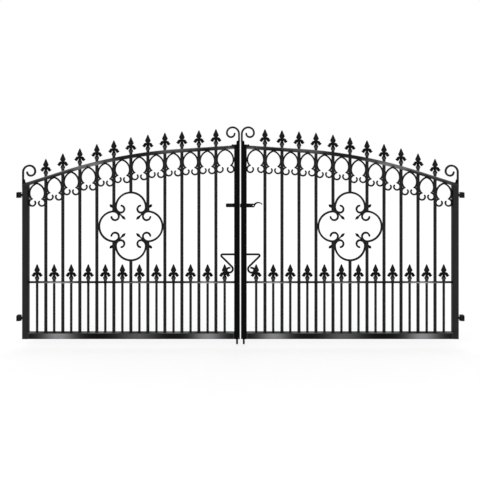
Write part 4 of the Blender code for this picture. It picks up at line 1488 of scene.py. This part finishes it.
@dataclass
class Hinges(Ironwork):
    """The eyes on a leaf, and the fixed brackets with their pins."""

    axis_reach: float = 0.030
    reach: float = 0.0165              # of a bracket, from its axis to the back of its plate
    height: float = 0.038
    depth: float = 0.032
    plate: float = 0.004
    plate_corner: float = 0.0025
    ear: float = 0.006
    ear_shape: Pair = (0.99, 0.98)     # of a half circle's radius, along u and y
    ear_sink: float = 0.0012
    ease: float = 0.0008
    pin: float = 0.012
    pin_recess: float = 0.0015
    pin_ease: float = 0.001
    bore_clearance: float = 0.0003
    eye_ease: float = 0.0010
    clearance: float = 0.0005
    stem_sink: float = 0.0018
    # of the stem and its boss: (distance from the stem's start, radius), then (distance from the stile, radius)
    stem: Pairs = ((0.0, 0.0080), (0.0030, 0.0086), (0.0052, 0.0102), (0.0062, 0.0110))
    boss: Pairs = ((-0.0068, 0.0110), (-0.0056, 0.0102), (-0.0030, 0.0090), (-0.0003, 0.0086))
    bead: float = 0.0016
    bead_place: Pair = (-0.0017, 0.0092)
    bead_squash: float = 0.8
    tone: float = 32.0

    def eye(self, word: str, y: float, z: float) -> None:
        """Build an eye: a bored barrel with a stem and a boss that is welded to the stile.

        The weld's bead has the radius r (1 + 0.12 sin 14a) at the angle a round the stem, and is squashed
        along it.

        Args:
            word: lower or upper.
            y: depth of its axis.
            z: height of its middle.
        """
        radius, bore = self.reach - self.plate - self.clearance, self.pin / 2 + self.bore_clearance
        length = 2 * (self.height / 2 - self.ear - self.clearance)
        barrel = eased_section(length, radius - bore, self.eye_ease, steps=2) + [0, (bore + radius) / 2]
        start = radius - self.axis_reach - self.stem_sink
        profile = (*((start + distance, size) for distance, size in self.stem), *self.boss)
        a, b = circle(48)[:, None], circle(8)
        r = self.bead * (1 + 0.12 * np.sin(14 * a))
        out = self.bead_place[1] + r * np.cos(b)
        bead = sheet(self.bead_place[0] + self.bead_squash * r * np.sin(b), y + out * np.cos(a), z + out * np.sin(a),
                     closed_path=True)
        parts = [turned(barrel, (-self.axis_reach, y, z), (0, 0, 1), sides=48, hollow=True),
                 turned(profile, (0, y, z), (1, 0, 0), sides=40), bead]
        self.dress(f"{word}_hinge_eye", "forging", parts, Finish.FORGED, self.tone)

    def bracket(self, word: str, y: float, z: float) -> None:
        """Build a fixed bracket: a plate, two rounded ears and the pin between them.

        Args:
            word: lower or upper.
            y: depth of its axis.
            z: height of its middle.
        """
        half = np.array([self.depth, self.height]) / 2
        rise = self.ease * np.array([0, ROUNDED, 1])
        out = np.concatenate([rise, self.plate - rise[::-1]]) - self.axis_reach - self.reach
        inset = np.concatenate([rise[::-1], rise])[:, None, None]
        face = eased_section(self.height, self.depth, self.plate_corner)[:, ::-1] * (1 - inset / half)
        parts = [sheet(out[:, None], y + face[..., 0], z + face[..., 1])]
        a = np.linspace(-np.pi / 2, np.pi / 2, 33)
        wide, deep = half[0] * np.array(self.ear_shape)
        round_end = np.stack([wide * np.cos(a) - self.axis_reach, y + deep * np.sin(a)], -1)
        back = self.ear_sink - self.axis_reach - self.reach
        outline = np.concatenate([[(back, y - deep)], round_end, [(back, y + deep)]])
        parts += [slab(outline, z + low, z + low + self.ear, self.ease).upended()
                  for low in (-half[1], half[1] - self.ear)]
        angle, end = np.linspace(np.pi / 2, 0, 4), half[1] - self.pin_recess
        rod = np.stack([self.pin_ease * (1 - np.sin(angle)) - end,
                        self.pin / 2 - self.pin_ease * (1 - np.cos(angle))], -1)
        parts.append(turned(np.concatenate([rod, rod[::-1] * [-1, 1]]), (-self.axis_reach, y, z), (0, 0, 1),
                            sides=40))
        self.dress(f"{word}_bracket", "clevis", parts, Finish.FORGED, self.tone, "root")

    def build(self) -> None:
        """Build both hinges."""
        for word in ("lower", "upper"):
            _, y, z = self.space.middle_of(self.node(f"{word}_bracket"))
            self.eye(word, y, z)
            self.bracket(word, y, z)


@dataclass
class DropBolt(Ironwork):
    """Drop bolt: a rod bent into an arm and a curled handle, behind the meeting stile."""

    diameter: float = 0.013
    fuller: float = 0.0006
    reach: float = 0.057
    arm_height: float = 0.5784
    arm_length: float = 0.1026
    corner: float = 0.0078
    handle: Pairs = ((0.009, 135.5), (0.100, 0), (0.0255, -135.5), (0.0175, -90), (0.0165, -90), (0.012, -55))
    grey: float = 20.0

    def build(self) -> None:
        """Build the bolt."""
        moves = [(self.arm_height + self.reach - self.corner, 0), (self.corner, 90),
                 (self.arm_length - self.corner, 0), *self.handle]
        u, y = self.bolt_axis
        path = flat_route((u, -self.reach), math.pi / 2, moves, step=5)
        section = round_section(self.diameter + 2 * self.fuller, sides=24)
        rod = forge(path, section, y, tail=(0.0, 0.035), thin=0.95)
        self.dress("drop_bolt", "rod", [rod], Finish.RUBBED, self.grey, "drop_bolt")


@dataclass
class Latch(Ironwork):
    """Sliding latch behind the meeting stiles: the bolt and its guide on the right leaf, the keeper on the left."""

    height: float = 0.9243
    bar_height: float = 0.0268
    bar_thickness: float = 0.008
    bar_ease: float = 0.0010
    reach: float = 0.1003
    throw: float = 0.035
    tip: float = 0.0066
    chamfer: float = 0.002
    shoulder: Pair = (-0.004, 0.006)   # u of the bar's end at its upper and lower edge
    hole: float = 0.0080
    hole_inset: float = 0.0140
    tail_start: Pair = (0.008, 0.0027)
    tail_heading: float = math.radians(150)
    tail: Pairs = ((0.016, -25), (0.031, 80), (0.034, 31))
    tail_width: float = 0.014
    tail_taper: Pairs = ((0.0, 1.0), (0.02, 0.78), (math.inf, 0.40))   # (distance, share of the width)
    tail_thinner: float = 0.0008
    strap: float = 0.005
    strap_ease: float = 0.0007
    strap_corner: float = 0.005
    strap_inset: float = 0.004
    lug: float = 0.006
    lug_inset: Pair = (0.0004, 0.0002)
    lug_ease: float = 0.0003
    lug_sink: float = 0.001
    keeper_reach: float = 0.0990
    guide_reach: float = 0.0617
    clearance: float = 0.0005
    grey: float = 14.0
    sharp: float = 30.0

    def strap_piece(self, reach: float) -> Skin:
        """A strap on two lugs, which the bolt slides behind.

        Args:
            reach: from the meeting edge to its free end.

        Returns:
            The closed surface.
        """
        frame, bar = self.space.frame_depth, self.bar_height / 2
        back = frame + 2 * self.clearance + self.bar_thickness
        half = bar + self.clearance + self.lug
        near, far = self.space.width - self.strap_inset, self.space.width - self.space.frame_width + self.strap_inset
        end, r = self.space.width - reach, self.strap_corner
        upper = np.array([(near, half), (far, half), (far, bar), (end + r, bar), (end + 0.3 * r, bar - 0.3 * r),
                          (end, bar - r)])
        outline = np.roll(np.concatenate([upper, upper[::-1] * [1, -1]]), 1, axis=0) + [0, self.height]
        lug = eased_section(near - far - 2 * self.lug_inset[0], self.lug - 2 * self.lug_inset[1], self.lug_ease)
        lugs = [slab(lug + [(near + far) / 2, self.height + side * (half - self.lug / 2)], frame + FIT,
                     back + self.lug_sink, self.lug_ease) for side in (-1, 1)]
        return weld(Work.JOIN, slab(outline, back, back + self.strap, self.strap_ease), lugs)

    def drilled(self, skin: Skin, u: float) -> Skin:
        """A surface with a padlock hole through it at u."""
        drill = turned(((0.0, self.hole / 2), (0.1, self.hole / 2)), (u, 0, self.height), (0, 1, 0), sides=32)
        return weld(Work.CUT, skin, [drill])

    def bolt(self) -> Skin:
        """The sliding bolt with its padlock hole and its curved thumb tail.

        Returns:
            The closed surface.
        """
        half, near = self.bar_height / 2, self.space.frame_depth + self.clearance
        end, tip, c = self.space.width - self.reach, self.space.width + self.tip, self.chamfer
        outline = np.array([(tip, c - half), (tip, half - c), (tip - c, half), (end + self.shoulder[0], half),
                            (end + self.shoulder[1], -half), (tip - c, -half)])
        bar = slab(outline + [0, self.height], near, near + self.bar_thickness, self.bar_ease)
        path = flat_route((end + self.tail_start[0], self.height + self.tail_start[1]), self.tail_heading, self.tail,
                          step=6)
        places = stations(path, spacing=0.003)
        at, share = np.array(self.tail_taper).T
        section = eased_section(self.tail_width, self.bar_thickness - self.tail_thinner, self.bar_ease, steps=2)
        tail = carry(along(path, places), section, near + self.bar_thickness / 2,
                     np.interp(places, np.minimum(at, places[-1]), share))
        return self.drilled(weld(Work.JOIN, bar, [tail]), end + self.hole_inset)

    def build(self) -> None:
        """Build this leaf's half of the latch."""
        if self.space.side is Side.LEFT:
            works = (("latch_keeper", "strap", self.strap_piece(self.keeper_reach), "leaf"),)
        else:
            hole = self.space.width - (self.reach - self.hole_inset - self.throw)
            works = (("latch_guide", "strap", self.drilled(self.strap_piece(self.guide_reach), hole), "leaf"),
                     ("latch_bolt", "slide", self.bolt(), "latch_bolt"))
        for word, suffix, skin, body in works:
            self.dress(word, suffix, [skin], Finish.RUBBED, self.grey, body, self.sharp)


# ---------------------------------------------------------------- studio

@dataclass
class Studio:
    """Plain pale studio: a level camera before the gate, an even sky, soft lamps and a white floor."""

    distance: float = 4.310
    eye_height: float = 1.494
    aside: float = -0.003
    lens: float = 46.36
    shift: float = -0.281
    floor_drop: float = 0.001
    floor_reach: float = 60.0
    sky: float = 0.92
    white: str = "#FFFFFF"
    floor_white: str = "#F4F4F4"
    floor_seen: str = "#909090"
    lift: Pair = (0.71, 0.745)
    lift_reach: Pair = (1.5, 7.0)
    lamp_size: float = 3.0
    lamps: tuple[tuple[str, Spot, float], ...] = (   # name, (X from the gate's middle, Y, Z), watts
        ("key", (-3.0, -5.0, 4.2), 90), ("fill", (3.6, -4.4, 2.4), 42), ("back", (0.5, 4.5, 3.6), 64))

    def camera(self, middle: Array, front: float) -> None:
        """Add the camera, level and straight on, raised to a standing eye's height.

        Args:
            middle: middle of the gate.
            front: Y of the gate's front face.
        """
        data = bpy.data.cameras.new("camera")
        data.lens, data.shift_y = self.lens, self.shift
        camera = bpy.data.objects.new("camera", data)
        camera.location = (middle[0] + self.aside, front - self.distance, self.eye_height)
        camera.rotation_euler = (math.pi / 2, 0, 0)
        bpy.context.scene.collection.objects.link(camera)
        bpy.context.scene.camera = camera

    def light(self, middle: Array) -> None:
        """Add the soft square lamps, each aimed at the middle of the gate.

        Args:
            middle: middle of the gate.
        """
        for name, place, power in self.lamps:
            data = bpy.data.lights.new(name, "AREA")
            data.shape, data.size, data.energy = "SQUARE", self.lamp_size, power
            lamp = bpy.data.objects.new(name, data)
            lamp.location = np.array(place) + [middle[0], 0, 0]
            back = np.array(place) - [0, *middle[1:]]
            lamp.rotation_euler = (math.acos(back[2] / np.linalg.norm(back)), 0, math.atan2(back[0], -back[1]))
            bpy.context.scene.collection.objects.link(lamp)

    def seen(self, tree: bpy.types.NodeTree) -> bpy.types.NodeSocket:
        """Output that is 1 for a ray of the camera, a reflection or a refraction, and 0 for other light.

        Args:
            tree: the node tree.

        Returns:
            The output.
        """
        ray = add_node(tree, "LightPath").outputs
        seen = ray["Is Camera Ray"]
        for kind in ("Glossy", "Transmission"):
            seen = add_node(tree, "Math", {"operation": "MAXIMUM"}, {0: seen, 1: ray[f"Is {kind} Ray"]})
            seen = seen.outputs["Value"]
        return seen

    def world(self) -> None:
        """Add the sky: white to the eye and to reflections, and a little dimmer as light."""
        world = bpy.data.worlds.new("studio")
        bpy.context.scene.world = world
        world.use_nodes = True
        background = world.node_tree.nodes["Background"]
        strength = add_node(world.node_tree, "MapRange", {"To Min": self.sky, "To Max": 1.0},
                            {"Value": self.seen(world.node_tree)})
        feed(background, {"Strength": strength.outputs["Result"]})
        background.inputs["Color"].default_value = linear(self.white)

    def floor(self, middle: Array, height: float) -> None:
        """Add the floor just under the drop bolts: matt white, and brought to an even white where it is seen.

        Args:
            middle: middle of the gate.
            height: Z of the gate's lowest point.
        """
        flat = middle[:2] + self.floor_reach * np.array([(-1, -1), (1, -1), (1, 1), (-1, 1)])
        points = np.concatenate([flat, np.full((4, 1), height - self.floor_drop)], -1)
        floor = to_object("floor", Skin(points, np.array([[0, 1, 2, 3]]), np.zeros((0, 3), int)))
        material, shader = new_material("matt_white_studio_vinyl", 0.0)
        shader.inputs["Roughness"].default_value = 0.9
        shader.inputs["Emission Color"].default_value = linear(self.white)
        tree = material.node_tree
        seen = self.seen(tree)
        tone = add_node(tree, "Mix", {"data_type": "RGBA", 6: linear(self.floor_white), 7: linear(self.floor_seen)},
                        {0: seen})
        place = add_node(tree, "TexCoord").outputs["Object"]
        back = add_node(tree, "SeparateXYZ", links={"Vector": place}).outputs["Y"]
        lift = add_node(tree, "MapRange", {"From Min": self.lift_reach[0], "From Max": self.lift_reach[1],
                                           "To Min": self.lift[0], "To Max": self.lift[1]}, {"Value": back})
        lift_seen = add_node(tree, "Math", {"operation": "MULTIPLY"}, {0: lift.outputs["Result"], 1: seen})
        feed(shader, {"Base Color": tone.outputs[2], "Emission Strength": lift_seen.outputs["Value"]})
        floor.data.materials.append(material)
        floor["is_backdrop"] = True

    def build(self, low: Array, high: Array, front: float) -> None:
        """Build the studio round the gate.

        Args:
            low: lowest corner of the gate.
            high: highest corner of the gate.
            front: Y of the gate's front face.
        """
        middle = (low + high) / 2
        self.camera(middle, front)
        self.world()
        self.floor(middle, low[2])
        self.light(middle)
        bpy.context.scene.view_settings.view_transform = "Standard"


def main() -> None:
    """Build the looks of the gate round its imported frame."""
    logging.basicConfig(level=logging.INFO, format="%(name)s: %(message)s")
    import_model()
    cad_box = [list(corner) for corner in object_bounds()]
    coats = {finish: finish.value.material() for finish in Finish}
    head = CastHead().casting()
    Studio().build(*np.array(cad_box), LeafSpace.of(Side.LEFT).front)
    for side in Side:
        space = LeafSpace.of(side)
        base = (space, Arch(space.width), coats)
        bars = Uprights(*base, head)
        axes = bars.axes()
        for piece in (Frame(*base), bars, ArchRail(*base, axes), DogBarPanel(*base, bars),
                      Quatrefoil(*base, bars, axes), StileScrolls(*base), Hinges(*base), DropBolt(*base),
                      Latch(*base)):
            piece.build()
            LOG.info("%s %s built", side.word, type(piece).__name__)


if __name__ == "__main__":
    main()
